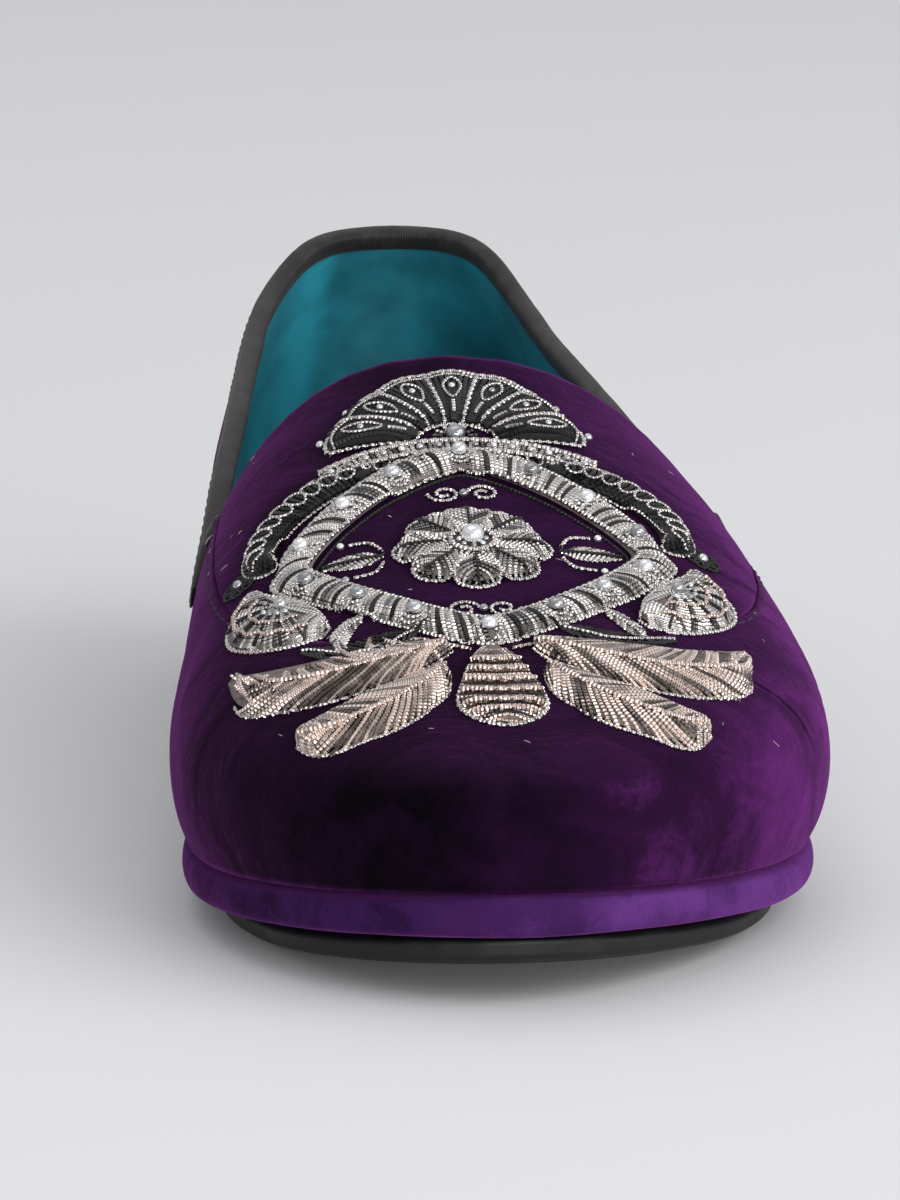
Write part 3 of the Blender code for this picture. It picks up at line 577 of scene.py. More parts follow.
def slipper_material(name):
    """One of the slipper's finishes, made when it is first asked for."""
    if name not in bpy.data.materials:
        hues = bpy.context.scene.slipper_colours
        recipes = {
            # Both velvets carry painted light and painted shade in their colour, by which way they face
            "slipper_velvet": (velvet, hues.velvet_shaded, hues.velvet_lit, hues.velvet_sheen, VELVET_PAINTED_LIGHT_FACING),
            "platform_cloth": (velvet, hues.rand_shaded, hues.rand_lit, hues.velvet_sheen, PLATFORM_PAINTED_LIGHT_FACING),
            "lining_satin": (satin, hues.satin),
            "collar_tape": (tape, hues.tape),
            "sole_rubber": (rubber, hues.rubber),
            SILVER: (wire, hues.silver, 0.20),
            CHAMPAGNE: (wire, hues.rose, 0.22),
            DARK: (wire, hues.black_wire, 0.38, 0.6),
            "stone_glass": (glass, (0.92, 0.93, 0.96)),
            "dark_padding": (felt, (0.012, 0.010, 0.012)),
            "pale_padding": (felt, (0.20, 0.17, 0.155)),
            "seam_thread": (felt, (0.030, 0.008, 0.045)),
            "pale_lint": (felt, (0.55, 0.45, 0.42)),
        }
        finish, *values = recipes[name]
        finish(name, *values)
    return bpy.data.materials[name]


def tree_of(*objects):
    """One ray-casting tree over several meshes."""
    points, faces = [], []
    for obj in objects:
        base = len(points)
        points += [v.co.copy() for v in obj.data.vertices]
        faces += [tuple(base + i for i in f.vertices) for f in obj.data.polygons]
    return BVHTree.FromPolygons(points, faces)


def drop_on(tree, x, y):
    """The point and the normal of a surface straight under a plan place, or None and None beside it."""
    return tree.ray_cast(Vector((x, y, ABOVE)), DOWN)[:2]


def unit(vectors):
    return vectors / np.linalg.norm(vectors, axis=-1, keepdims=True)


def running_lengths(points):
    """The distance walked along a line at each of its points."""
    return np.concatenate(([0], np.cumsum(np.linalg.norm(np.diff(points, axis=0), axis=1))))


def even_places(line, count):
    """Places at even distances along a line."""
    lengths = running_lengths(line)
    wanted = np.linspace(0, lengths[-1], count)
    return np.stack([np.interp(wanted, lengths, line[:, k]) for k in range(line.shape[1])], axis=1)


def smooth_line(places, closed=False, steps=8):
    """A Catmull-Rom curve through a few places."""
    count = len(places)
    if count < 3:
        return places
    dense = []
    for i in range(count if closed else count - 1):
        around = [(i + k) % count if closed else min(max(i + k, 0), count - 1) for k in (-1, 0, 1, 2)]
        a, b, c, d = (places[k] for k in around)
        for k in range(steps):
            t = k / steps
            bend = t * t * (a - 2.5 * b + 2 * c - 0.5 * d)
            twist = t**3 * (1.5 * (b - c) + 0.5 * (d - a))
            dense.append(b + 0.5 * t * (c - a) + bend + twist)
    dense.append(places[0] if closed else places[-1])
    return np.array(dense)


def ring(centre, radius, count=8):
    """Places at even turns round a centre."""
    turns = np.linspace(0, FULL_TURN, count + 1)[:-1]
    return [(centre[0] + radius * math.sin(t), centre[1] + radius * math.cos(t)) for t in turns]


def mirrored_ring(centre, radius, count):
    """The same places with across and along exchanged."""
    return [(across, along) for along, across in ring(centre[::-1], radius, count)]


def spiral(centre, start, end, turns, turn_from, way):
    """A spiral round a place, from one radius to another."""
    steps = int(turns * 10)
    places = []
    for k in range(steps + 1):
        share = k / steps
        radius = start + (end - start) * share
        turn = turn_from + way * FULL_TURN * turns * share
        places.append((centre[0] + radius * math.cos(turn), centre[1] + radius * math.sin(turn)))
    return places


class Crest:
    """The embroidery's own coordinates on the vamp, walked out over the velvet from the ridge."""

    def __init__(self, covers, pads):
        self.velvet = tree_of(*covers)
        self.padded = tree_of(*covers, *pads)
        fine = CREST_STEP / 4
        wide, long = CREST_GRID
        self.half = int(CREST_REACH * wide / CREST_STEP) + 2
        row_count = int((CREST_CENTRE + CREST_REACH * long) / CREST_STEP)
        y = along_to_y(TONGUE_EDGE)
        ridge = self.walk((ridge_x(y), y), (0, -fine), [CREST_STEP * k for k in range(row_count)])
        columns = [CREST_STEP * k for k in range(self.half + 1)]
        rows = []
        for point in ridge:
            middle = (ridge_x(point[1]), point[1])
            left, right = (self.walk(middle, (side * fine, 0), columns) for side in (INNER, OUTER))
            rows.append(left[:0:-1] + right)
        grid = np.array(rows)
        for _ in range(3):
            around = grid[:-2, 1:-1] + grid[2:, 1:-1] + grid[1:-1, :-2] + grid[1:-1, 2:]
            grid[1:-1, 1:-1] = (grid[1:-1, 1:-1] * 2 + around) / 6
        self.grid = grid
        self.settle()

    def grid_normals(self):
        return unit(np.cross(np.gradient(self.grid, axis=1), -np.gradient(self.grid, axis=0)))

    def settle(self):
        """Sets the smoothed grid back on the velvet, along its own normals."""
        normals = self.grid_normals()
        for i, j in np.ndindex(self.grid.shape[:2]):
            point, normal = Vector(self.grid[i, j]), Vector(normals[i, j])
            hit, _, _, _ = self.velvet.ray_cast(point + normal * 8 * MM, -normal, 14 * MM)
            if hit is not None:
                self.grid[i, j] = hit
        self.normals = self.grid_normals()

    def drop(self, place):
        """The velvet straight under a plan place, or None beside the shoe."""
        hit, _ = drop_on(self.velvet, *place)
        return np.array(hit) if hit is not None else None

    def walk(self, start, step, distances):
        """Points at given distances over the surface, walked in one plan direction and then straight down."""
        place, step = np.array(start, float), np.array(step, float)
        walked, found = 0.0, []
        last = self.drop(place)
        if last is None:
            last = np.array((*start, LAST_MIDDLE))
        for distance in distances:
            while walked < distance:
                following = self.drop(place + step)
                if following is None or last[2] - following[2] > 3 * MM:
                    following = last - np.array((0, 0, np.linalg.norm(step)))
                else:
                    place = place + step
                walked += np.linalg.norm(following - last)
                last = following
            found.append(last.copy())
        return found

    def base(self, across, along):
        """The point and the normal of the velvet at a place of the embroidery."""
        r = np.clip((CREST_CENTRE + along * CREST_REACH) / CREST_STEP, 0, self.grid.shape[0] - 1.001)
        c = np.clip(across * CREST_REACH / CREST_STEP + self.half, 0, self.grid.shape[1] - 1.001)
        i, j = int(r), int(c)
        u, v = r - i, c - j

        def mixed(table):
            near, far = (table[k, j] * (1 - v) + table[k, j + 1] * v for k in (i, i + 1))
            return near * (1 - u) + far * u

        return mixed(self.grid), unit(mixed(self.normals))

    def top(self, across, along):
        """The point on top of velvet and padding, and the velvet's normal there."""
        point, normal = self.base(across, along)
        hit, _, _, _ = self.padded.ray_cast(Vector(point + normal * 7 * MM), Vector(-normal), 9 * MM)
        return (np.array(hit) if hit is not None else point), normal

    def line(self, places, lift, count, closed=False):
        """A thread's line over the padding: evenly spaced points and normals, lifted by a height."""
        dense = smooth_line(np.array(places, float), closed)
        found = [self.top(*spot) for spot in even_places(dense, count)]
        points = np.array([p + n * lift for p, n in found])
        soft = points.copy()
        soft[1:-1] = (points[:-2] + 2 * points[1:-1] + points[2:]) / 4
        if closed:
            soft[0] = soft[-1] = (points[-2] + 2 * points[0] + points[1]) / 4
        return soft, np.array([n for _, n in found])


class Strip:
    """A strip of the embroidery: a centre line with a half width, in the embroidery's own coordinates."""

    def __init__(self, rows, side=OUTER):
        dense = smooth_line(np.array([(side * a, b, w) for a, b, w in rows], float))
        self.rows = even_places(dense, 81)
        ahead = unit(np.gradient(self.rows[:, :2], axis=0))
        self.across = np.stack((-ahead[:, 1], ahead[:, 0]), axis=1)

    def at(self, share, part):
        """A place at a share of the length, and at a part of the half width to one side."""
        k = min(max(share, 0), 1) * 80
        i = min(int(k), 79)
        t = k - i
        row = self.rows[i] * (1 - t) + self.rows[i + 1] * t
        across = self.across[i] * (1 - t) + self.across[i + 1] * t
        return row[:2] + across * row[2] * part

    def along(self, shares, part=0.0):
        """Places along the strip, on its centre line or at a part of its half width."""
        return [self.at(share, part) for share in shares]

    def arc(self, share, sag, reach):
        """Places across the strip from edge to edge, sagging forward in the middle."""
        return [self.at(share + sag * (1 - part * part), part * reach) for part in (-1, -0.5, 0, 0.5, 1)]

    def loop(self, share, length, part):
        """Places of a small ring round the centre line."""
        turns = np.linspace(0, FULL_TURN, 7)[:-1]
        return [self.at(share + length * math.cos(t), part * math.sin(t)) for t in turns]

    def outline(self, edge=None, steps=14):
        """The closed outline, at the half width or at the part of it that edge(share) gives."""
        ends = [(k / steps, edge(k / steps) if edge else 1.0) for k in range(steps + 1)]
        return [self.at(s, part) for s, part in ends] + [self.at(s, -part) for s, part in reversed(ends)]


class Shape:
    """A small shape modelled once, kept as arrays: its points, faces and the UV of each corner."""

    def __init__(self, obj):
        self.points = np.array([v.co for v in obj.data.vertices])
        self.faces = [tuple(f.vertices) for f in obj.data.polygons]
        corners = []
        for face in self.faces:
            turns = [math.atan2(self.points[i][1], self.points[i][0]) / FULL_TURN for i in face]
            for i, turn in zip(face, turns):
                corners.append((self.points[i][2], turn - round(turn - turns[0])))
        self.uv = np.array(corners)
        bpy.data.objects.remove(obj)


def inset_faces(thickness, depth, test):
    """Insets the faces of the mesh in edit mode that pass a test, and leaves edit mode."""
    bpy.ops.mesh.select_mode(type="FACE")
    bpy.ops.mesh.select_all(action="DESELECT")
    mesh = bmesh.from_edit_mesh(bpy.context.object.data)
    for face in mesh.faces:
        face.select_set(test(face))
    mesh.select_flush_mode()
    bmesh.update_edit_mesh(bpy.context.object.data)
    bpy.ops.mesh.inset(thickness=thickness, depth=depth)
    bpy.ops.object.mode_set(mode="OBJECT")


def add_tube(sides, segments, ends):
    """A round tube along Z, one unit long and one in radius, cut into segments and left in edit mode."""
    deselect()
    bpy.ops.mesh.primitive_cylinder_add(
        vertices=sides, radius=1, depth=1, end_fill_type=ends, location=(0, 0, 0.5)
    )
    bpy.ops.object.transform_apply(location=True, rotation=False, scale=False)
    bpy.ops.object.mode_set(mode="EDIT")
    bpy.ops.mesh.select_all(action="DESELECT")
    bpy.ops.mesh.select_mode(type="EDGE")
    mesh = bmesh.from_edit_mesh(bpy.context.object.data)
    for edge in mesh.edges:
        way = edge.verts[1].co - edge.verts[0].co
        edge.select_set(abs(way.z) > 0.9 * way.length)
    bmesh.update_edit_mesh(bpy.context.object.data)
    bpy.ops.mesh.subdivide(number_cuts=segments - 1)


def model_strand(sides=7, segments=6):
    """A round strand with soft ends."""
    add_tube(sides, segments, "NGON")
    inset_faces(0.35, 0.04, lambda face: abs(face.normal.z) > 0.9)


def model_link():
    """One turn of twisted cord: a three-stranded section that turns as it rises, open at both ends."""
    add_tube(9, 5, "NOTHING")
    bpy.ops.object.mode_set(mode="OBJECT")
    for vertex in bpy.context.object.data.vertices:
        x, y, z = vertex.co
        turn = math.atan2(y, x)
        radius = 0.86 + 0.20 * math.cos(3 * turn - FULL_TURN * z)
        vertex.co = (radius * math.cos(turn), radius * math.sin(turn), z)


def model_bead():
    """A round bead, a little flat, one unit in radius."""
    deselect()
    bpy.ops.mesh.primitive_uv_sphere_add(segments=10, ring_count=7, radius=1)
    bpy.ops.object.mode_set(mode="EDIT")
    bpy.ops.mesh.select_all(action="SELECT")
    bpy.ops.transform.resize(value=(1, 1, 0.82))
    bpy.ops.object.mode_set(mode="OBJECT")


def model_stone():
    """A cut stone, one unit in radius: a table, a crown of facets and a short girdle."""
    deselect()
    bpy.ops.mesh.primitive_cylinder_add(vertices=8, radius=1, depth=0.7, location=(0, 0, 0))
    bpy.ops.object.mode_set(mode="EDIT")
    inset_faces(0.42, 0.4, lambda face: face.normal.z > 0.9)


SHAPES = {}


def shape(name):
    """One of the small shapes, modelled when it is first asked for."""
    if name not in SHAPES:
        models = {
            "strand": model_strand,
            "roll": lambda: model_strand(16, 14),
            "link": model_link,
            "bead": model_bead,
            "stone": model_stone,
        }
        models[name]()
        SHAPES[name] = Shape(bpy.context.object)
    return SHAPES[name]


class Bundle:
    """Many small threads and beads gathered into one mesh, each with a material and a tone."""

    def __init__(self, seed):
        self.points, self.faces, self.uv, self.materials, self.tones, self.names = [], [], [], [], [], []
        self.count = 0
        self.random = random.Random(seed)

    def add(self, form, points, uv, material, tone):
        if material not in self.names:
            self.names.append(material)
        self.faces += [tuple(self.count + i for i in face) for face in form.faces]
        self.materials += [self.names.index(material)] * len(form.faces)
        self.points.append(points)
        self.uv.append(uv)
        self.tones.append(np.full(len(points), tone))
        self.count += len(points)

    def sweep(self, form, line, radius, material, repeats=1, tone=None, flat=1.0):
        """Bends copies of a shape along a line; flat squeezes them towards the surface."""
        spots, normals = line
        lengths = running_lengths(spots)
        total = lengths[-1]
        ways = np.gradient(spots, axis=0)
        if tone is None:
            tone = self.random.random()
        for copy in range(repeats):
            place = (copy + form.points[:, 2]) / repeats * total
            i = np.clip(np.searchsorted(lengths, place) - 1, 0, len(spots) - 2)
            share = ((place - lengths[i]) / (lengths[i + 1] - lengths[i]))[:, None]
            middle = spots[i] + (spots[i + 1] - spots[i]) * share
            within = np.clip(share, 0, 1)
            ahead = unit(ways[i] * (1 - within) + ways[i + 1] * within)
            side = unit(np.cross(ahead, normals[i] * (1 - within) + normals[i + 1] * within))
            up = np.cross(side, ahead)
            x, y = form.points[:, 0] * radius, form.points[:, 1] * radius * flat
            points = middle + side * x[:, None] + up * y[:, None]
            uv = form.uv.copy()
            uv[:, 0] = (copy + uv[:, 0]) / repeats * total / MM
            self.add(form, points, uv, material, tone)

    def set_down(self, form, point, normal, radius, material, turn):
        """Sets one shape on the surface, its Z along the normal."""
        tone = self.random.random()
        side = unit(np.cross(normal, (math.cos(turn), math.sin(turn), 0.3)))
        x, y, z = (form.points[:, k][:, None] * radius for k in range(3))
        points = point + side * x + np.cross(normal, side) * y + normal * z
        self.add(form, points, form.uv, material, tone)

    def build(self, name):
        mesh = bpy.data.meshes.new(name)
        mesh.from_pydata(np.concatenate(self.points).tolist(), [], self.faces)
        layer = mesh.uv_layers.new(name="follow")
        layer.data.foreach_set("uv", np.concatenate(self.uv).astype(np.float32).ravel())
        tone = mesh.attributes.new("tone", "FLOAT", "POINT")
        tone.data.foreach_set("value", np.concatenate(self.tones).astype(np.float32))
        for material in self.names:
            mesh.materials.append(slipper_material(material))
        mesh.polygons.foreach_set("material_index", self.materials)
        mesh.shade_smooth()
        mesh.set_sharp_from_angle(angle=math.radians(50))
        obj = bpy.data.objects.new(name, mesh)
        bpy.context.scene.collection.objects.link(obj)
        return obj


SHARED = {}


def shared_crest():
    """The embroidery's coordinates, worked out once over velvet and padding."""
    if "crest" not in SHARED:
        covers = (needed("upper_cover"), needed("tongue_cover"))
        SHARED["crest"] = Crest(covers, [obj for obj in bpy.data.objects if obj.name.endswith("_padding")])
    return SHARED["crest"]


class Bullion(Bundle):
    """A motif's threads, cords and stones. Thickness is a share of the wire's or cord's; lift is in mm."""

    def __init__(self, seed):
        super().__init__(seed)
        self.crest = shared_crest()

    def strand(self, places, material, thickness, lift=0.0, samples=7):
        """Lays one strand of coiled wire over the padding."""
        radius = sizes().purl * thickness
        line = self.crest.line(places, radius * 0.55 + lift * MM, samples)
        self.sweep(shape("strand"), line, radius, material, flat=STRAND_FLAT)

    def cord(self, places, material, thickness=1.0, lift=0.0, closed=False):
        """Lays a twisted cord over the padding."""
        radius = sizes().cord * thickness
        length = float(running_lengths(smooth_line(np.array(places, float), closed))[-1]) * CREST_REACH
        repeats = max(int(length / (CORD_PITCH * radius)), 3)
        line = self.crest.line(places, radius * 0.6 + lift * MM, repeats * 2 + 1, closed)
        self.sweep(shape("link"), line, radius, material, repeats=repeats, tone=0.55)

    def beads(self, places, radius=None, lift=0.0, kind="bead"):
        """Sews on beads or stones; their radius is in mm."""
        radius = sizes().bead if radius is None else radius * MM
        for place in places:
            point, normal = self.crest.top(*place)
            lean = unit(normal + np.array([self.random.uniform(-0.12, 0.12) for _ in range(3)]))
            turn = self.random.uniform(0, math.pi)
            raised = point + normal * (radius * 0.5 + lift * MM)
            self.set_down(shape(kind), raised, lean, radius, "stone_glass", turn)

    def feathered(self, strip, count, slant, material, thickness, edge=None):
        """Strands that leave the middle of a strip towards its edges, slanted forward as in a feather."""
        for k in range(count):
            share = 0.04 + (0.93 - slant * 0.5) * k / (count - 1)
            reach = edge(min(share + slant, 1)) if edge else 0.93
            for side in (OUTER, INNER):
                root = strip.at(share, 0.04 * side)
                middle = strip.at(share + slant * 0.45, 0.52 * reach * side)
                tip = strip.at(share + slant, reach * side * self.random.uniform(0.97, 1.02))
                self.strand([root, middle, tip], material, thickness)

    def crossed(self, strip, count, sag, material, thickness, reach=0.93, start=0.05, end=0.95):
        """Strands laid across a strip from edge to edge, sagging forward in the middle."""
        for k in range(count):
            arc = strip.arc(start + (end - start) * k / (count - 1), sag, reach)
            self.strand(arc, material, thickness, samples=9)

    def finish(self, slot_name, node):
        """Joins a motif's threads with its padding, in place of its node."""
        obj = self.build(node + "_bullion")
        pick(obj)
        needed(node + "_padding").select_set(True)
        bpy.ops.object.join()
        declare(obj, slot_name, node)


def lobed_edge(share):
    """The reach of the strands in a leaf with three lobes on each side, as a part of its half width."""
    return 0.84 + 0.13 * abs(math.sin(math.pi * 3 * share)) ** 0.7


class SLIPPER_OT_upper(bpy.types.Operator):
    """Covers the upper with velvet outside and satin inside, with soft folds"""

    bl_idname = "slipper.upper"
    bl_label = "Upper"

    def execute(self, context):
        obj = cover("upper", "upper_cover", "slipper_velvet", "lining_satin")
        split_lining(obj, -0.15)
        keep_seam_velvet(obj, tree_of(needed("tongue_cover")))

        def height(place, normal):
            outside = faces_outwards(place, normal)
            if outside > 0.15:
                unevenness = 0.7 * swell(place, 21 * MM, 3) + 0.3 * swell(place, 9 * MM, 11)
                return sizes().velvet_swell * unevenness + fold_depth(place)
            if outside < -0.15:
                stretched = Vector((place.x * 1.4, place.y * 1.6, place.z * 0.55))
                return sizes().lining_crumple * swell(stretched, 17 * MM, 23)
            return 0.0

        raise_surface(obj, height)
        declare(obj, "velvet", "upper")
        return {"FINISHED"}


class SLIPPER_OT_tongue(bpy.types.Operator):
    """Covers the apron and its free tongue with velvet, turned over its edge, and satin beneath"""

    bl_idname = "slipper.tongue"
    bl_label = "Tongue"

    def execute(self, context):
        obj = cover("tongue", "tongue_cover", "slipper_velvet", "lining_satin", levels=3)
        split_lining(obj, -0.55)

        def height(place, normal):
            if faces_outwards(place, normal) <= 0.3:
                return 0.0
            return sizes().velvet_swell * swell(place, 21 * MM, 3)

        raise_surface(obj, height)
        declare(obj, "velvet", "tongue")
        return {"FINISHED"}


class SLIPPER_OT_binding(bpy.types.Operator):
    """Folds the ribbed tape over the collar and rolls its ends under at the notches"""

    bl_idname = "slipper.binding"
    bl_label = "Collar binding"

    def execute(self, context):
        obj = cover("collar_binding", "collar_tape_cover", "collar_tape", crease=0.25)

        def height(place, normal):
            return 0.16 * MM * swell(place, 11 * MM, 31) + 0.05 * MM * swell(place, 2.2 * MM, 7)

        raise_surface(obj, height)
        self.follow_collar(obj)
        declare(obj, "binding", "collar_binding")
        declare(self.rolled_ends(), "binding")
        return {"FINISHED"}

    def follow_collar(self, obj):
        """A UV map that follows the collar: millimetres along it, and height."""
        pole_y = along_to_y(HEEL_POLE)
        layer = obj.data.uv_layers.new(name="follow")
        for loop in obj.data.loops:
            place = obj.data.vertices[loop.vertex_index].co
            along = pole_y - place.y
            if along <= 0:
                along = -math.atan2(-along, abs(place.x - ridge_x(pole_y))) * HEEL_ROUND
            layer.data[loop.index].uv = (along / MM, place.z / MM)

    def rolled_ends(self):
        """The tape's ends, turned up the front leg of each notch."""
        bundle = Bundle(5)
        tree = tree_of(needed("upper_cover"))
        for side in (OUTER, INNER):
            foot = self.wall_edge(tree, NOTCH - 0.008, side)
            head = self.wall_edge(tree, EAR + 0.004, side)
            out = np.array((side * 0.8, 0.2, 0.3))
            way = head - foot
            places = [
                foot - way * 0.25,
                foot + way * 0.15 + out * 0.7 * MM,
                foot + way * 0.6 + out * 0.9 * MM,
                head - way * 0.02,
            ]
            line = even_places(smooth_line(np.array(places)), 15), np.array([unit(out)] * 15)
            bundle.sweep(shape("roll"), line, 1.75 * MM, "collar_tape", flat=0.85)
        return bundle.build("tape_ends")

    def wall_edge(self, tree, share, side):
        """The middle of the wall's thickness at its top edge."""
        hit, _ = wall_point(tree, share, side, wall_top(tree, share, side) - 0.4 * MM)
        return np.array(hit) - np.array((side * 0.9 * MM, 0, 0))


class SLIPPER_OT_platform(bpy.types.Operator):
    """Wraps the platform in its own velvet, a little gathered at the toe"""

    bl_idname = "slipper.platform"
    bl_label = "Platform"

    def execute(self, context):
        obj = cover("midsole", "platform_cover", "platform_cloth", crease=0.2)

        def height(place, normal):
            toe = max(y_to_along(place.y) - 0.7, 0) / 0.3
            gathers = swell(Vector((place.x, place.y, place.z * 0.4)), 6 * MM, 5)
            return (1 - abs(normal.z)) * (0.16 * MM * swell(place, 15 * MM, 9) + 0.16 * MM * toe * gathers)

        raise_surface(obj, height)
        declare(obj, "platform_velvet", "midsole")
        return {"FINISHED"}


class SLIPPER_OT_soles(bpy.types.Operator):
    """Gives the outsole and the two layers of the heel smooth rubber"""

    bl_idname = "slipper.soles"
    bl_label = "Outsole and heel"

    def execute(self, context):
        rubbers = {
            "outsole": "outsole_rubber",
            "heel_block": "heel_block_rubber",
            "heel_top_piece": "heel_top_rubber",
        }
        for node, name in rubbers.items():
            obj = cover(node, name, "sole_rubber", crease_angle=40, crease=0.75)
            declare(obj, "sole_black", node)
        return {"FINISHED"}


class SLIPPER_OT_insole(bpy.types.Operator):
    """Covers the footbed with soft satin"""

    bl_idname = "slipper.insole"
    bl_label = "Insole"

    def execute(self, context):
        obj = cover("insole", "insole_cover", "lining_satin", crease=0.4)

        def height(place, normal):
            return sizes().lining_crumple * 0.5 * swell(place, 19 * MM, 41) if normal.z > 0.5 else 0.0

        raise_surface(obj, height)
        declare(obj, "lining_teal", "insole")
        return {"FINISHED"}


class SLIPPER_OT_padding(bpy.types.Operator):
    """Lays the padding of every motif on the vamp, as smooth copies of its nodes"""

    bl_idname = "slipper.padding"
    bl_label = "Embroidery padding"

    def execute(self, context):
        for nodes, material in ((DARK_MOTIFS, "dark_padding"), (PALE_MOTIFS, "pale_padding")):
            for node in nodes:
                cover(node, node + "_padding", material, crease=0)
        SHARED.clear()
        return {"FINISHED"}


class SLIPPER_OT_leaves(bpy.types.Operator):
    """Fills the leaves with slanted champagne wire, with a midrib and a corded edge"""

    bl_idname = "slipper.leaves"
    bl_label = "Leaves"

    def execute(self, context):
        for leaf, count in (("upper_leaf", 31), ("lower_leaf", 23)):
            for side, word in SIDES:
                strip = Strip(LEAF_ROWS[leaf], side)
                work = Bullion(17 + count * side)
                work.feathered(strip, count, 0.17, CHAMPAGNE, 0.85, lobed_edge)
                work.crossed(strip, 8, 0.03, CHAMPAGNE, 0.85, start=0.0, end=0.17)
                work.crossed(strip, 9, 0.02, CHAMPAGNE, 0.85, start=0.86, end=0.98)
                work.cord(strip.outline(lobed_edge, 40), SILVER, 0.7)
                work.cord(strip.along((0.0, 0.25, 0.5, 0.75, 0.97)), CHAMPAGNE, lift=0.25)
                work.finish("rose_wire", f"{leaf}_{word}")
        return {"FINISHED"}


class SLIPPER_OT_buds(bpy.types.Operator):
    """Works the side buds as shells of silver wire that open from a stone, with ribs and scalloped bands"""

    bl_idname = "slipper.buds"
    bl_label = "Side buds"

    def execute(self, context):
        for side, word in SIDES:
            strip = Strip(BUD_ROWS, side)
            work = Bullion(29 + side)
            root = strip.at(0.52, -0.60 * side)
            rim = [strip.at(0.03 + 0.94 * k / 48, 0.93 * side) for k in range(49)]
            back = [strip.at(0.08 + 0.84 * k / 24, -0.93 * side) for k in range(25)]
            ribs = rim[4::8]
            for end in rim + back:
                work.strand(self.ray(root, end, 0.12, 0.55, 1.0), SILVER, 0.72)
            for start, end in ((0.0, 0.22), (0.82, 1.0)):
                work.crossed(strip, 11, 0.0, SILVER, 0.8, 0.97, start, end)
            for end in ribs:
                work.strand(self.ray(root, end, 0.25, 0.6, 0.97), DARK, 0.62, lift=0.35)
            for band in (0.46, 0.76):
                reaches = [band + 0.07 * abs(math.cos(math.pi * k / 8)) for k in range(49)]
                scallops = [self.ray(root, end, reach)[0] for end, reach in zip(rim, reaches)]
                work.cord(scallops[::2], CHAMPAGNE, 0.75, lift=0.4)
            work.beads([root], 1.1, 0.3, "stone")
            work.beads([self.ray(root, end, 0.28)[0] for end in ribs], 0.5, 0.5)
            work.cord(strip.outline(), SILVER, 0.9)
            work.finish("silver_wire", f"side_bud_{word}")
        return {"FINISHED"}

    def ray(self, root, end, *reaches):
        """Places on the way from the shell's root to a place on its rim."""
        return [root + (end - root) * reach for reach in reaches]


class SLIPPER_OT_bell(bpy.types.Operator):
    """Works the bell in sagging rows of champagne cord and dark wire"""

    bl_idname = "slipper.bell"
    bl_label = "Bell"

    def execute(self, context):
        strip = Strip(BELL_ROWS)
        work = Bullion(41)
        work.crossed(strip, 34, 0.07, CHAMPAGNE, 0.8, end=0.93)
        for k in range(6):
            share = 0.20 + 0.125 * k
            work.cord(strip.arc(share, 0.07, 0.93), CHAMPAGNE, 1.15, lift=0.45)
            work.strand(strip.arc(share + 0.035, 0.07, 0.9), DARK, 0.5, lift=0.35, samples=9)
        work.cord(strip.outline(), SILVER)
        work.beads([(0, 0.83), (-0.06, 0.87), (0.06, 0.87)])
        work.finish("rose_wire", "bell")
        return {"FINISHED"}


class SLIPPER_OT_rosette(bpy.types.Operator):
    """Works the flower in silver wire, petal by petal, round a jewelled heart"""

    bl_idname = "slipper.rosette"
    bl_label = "Rosette"

    def execute(self, context):
        work = Bullion(53)
        for k in range(ROSETTE_PETALS):
            strip = self.petal(FULL_TURN * k / ROSETTE_PETALS)
            work.feathered(strip, 9, 0.22, SILVER, 0.66)
            work.cord(strip.outline(steps=8), SILVER, 0.75, lift=0.1)
            work.cord(strip.along((0.1, 0.5, 0.9)), DARK, 0.6, lift=0.3)
        work.cord(ring((0, 0), 0.085), SILVER, lift=0.3, closed=True)
        work.beads([(0.0, 0.0)], 1.9, 0.4, "stone")
        work.beads(ring((0, 0), 0.05), 0.5, 0.3)
        work.finish("silver_wire", "rosette")
        return {"FINISHED"}

    def petal(self, turn):
        """A petal whose centre line runs outwards at a turn round the flower."""
        inner, outer = PETAL_REACH
        rows = []
        for share, width in PETAL_WIDTHS:
            radius = inner + (outer - inner) * share
            rows.append((radius * math.sin(turn), radius * math.cos(turn), PETAL_HALF_WIDTH * width))
        return Strip(rows)


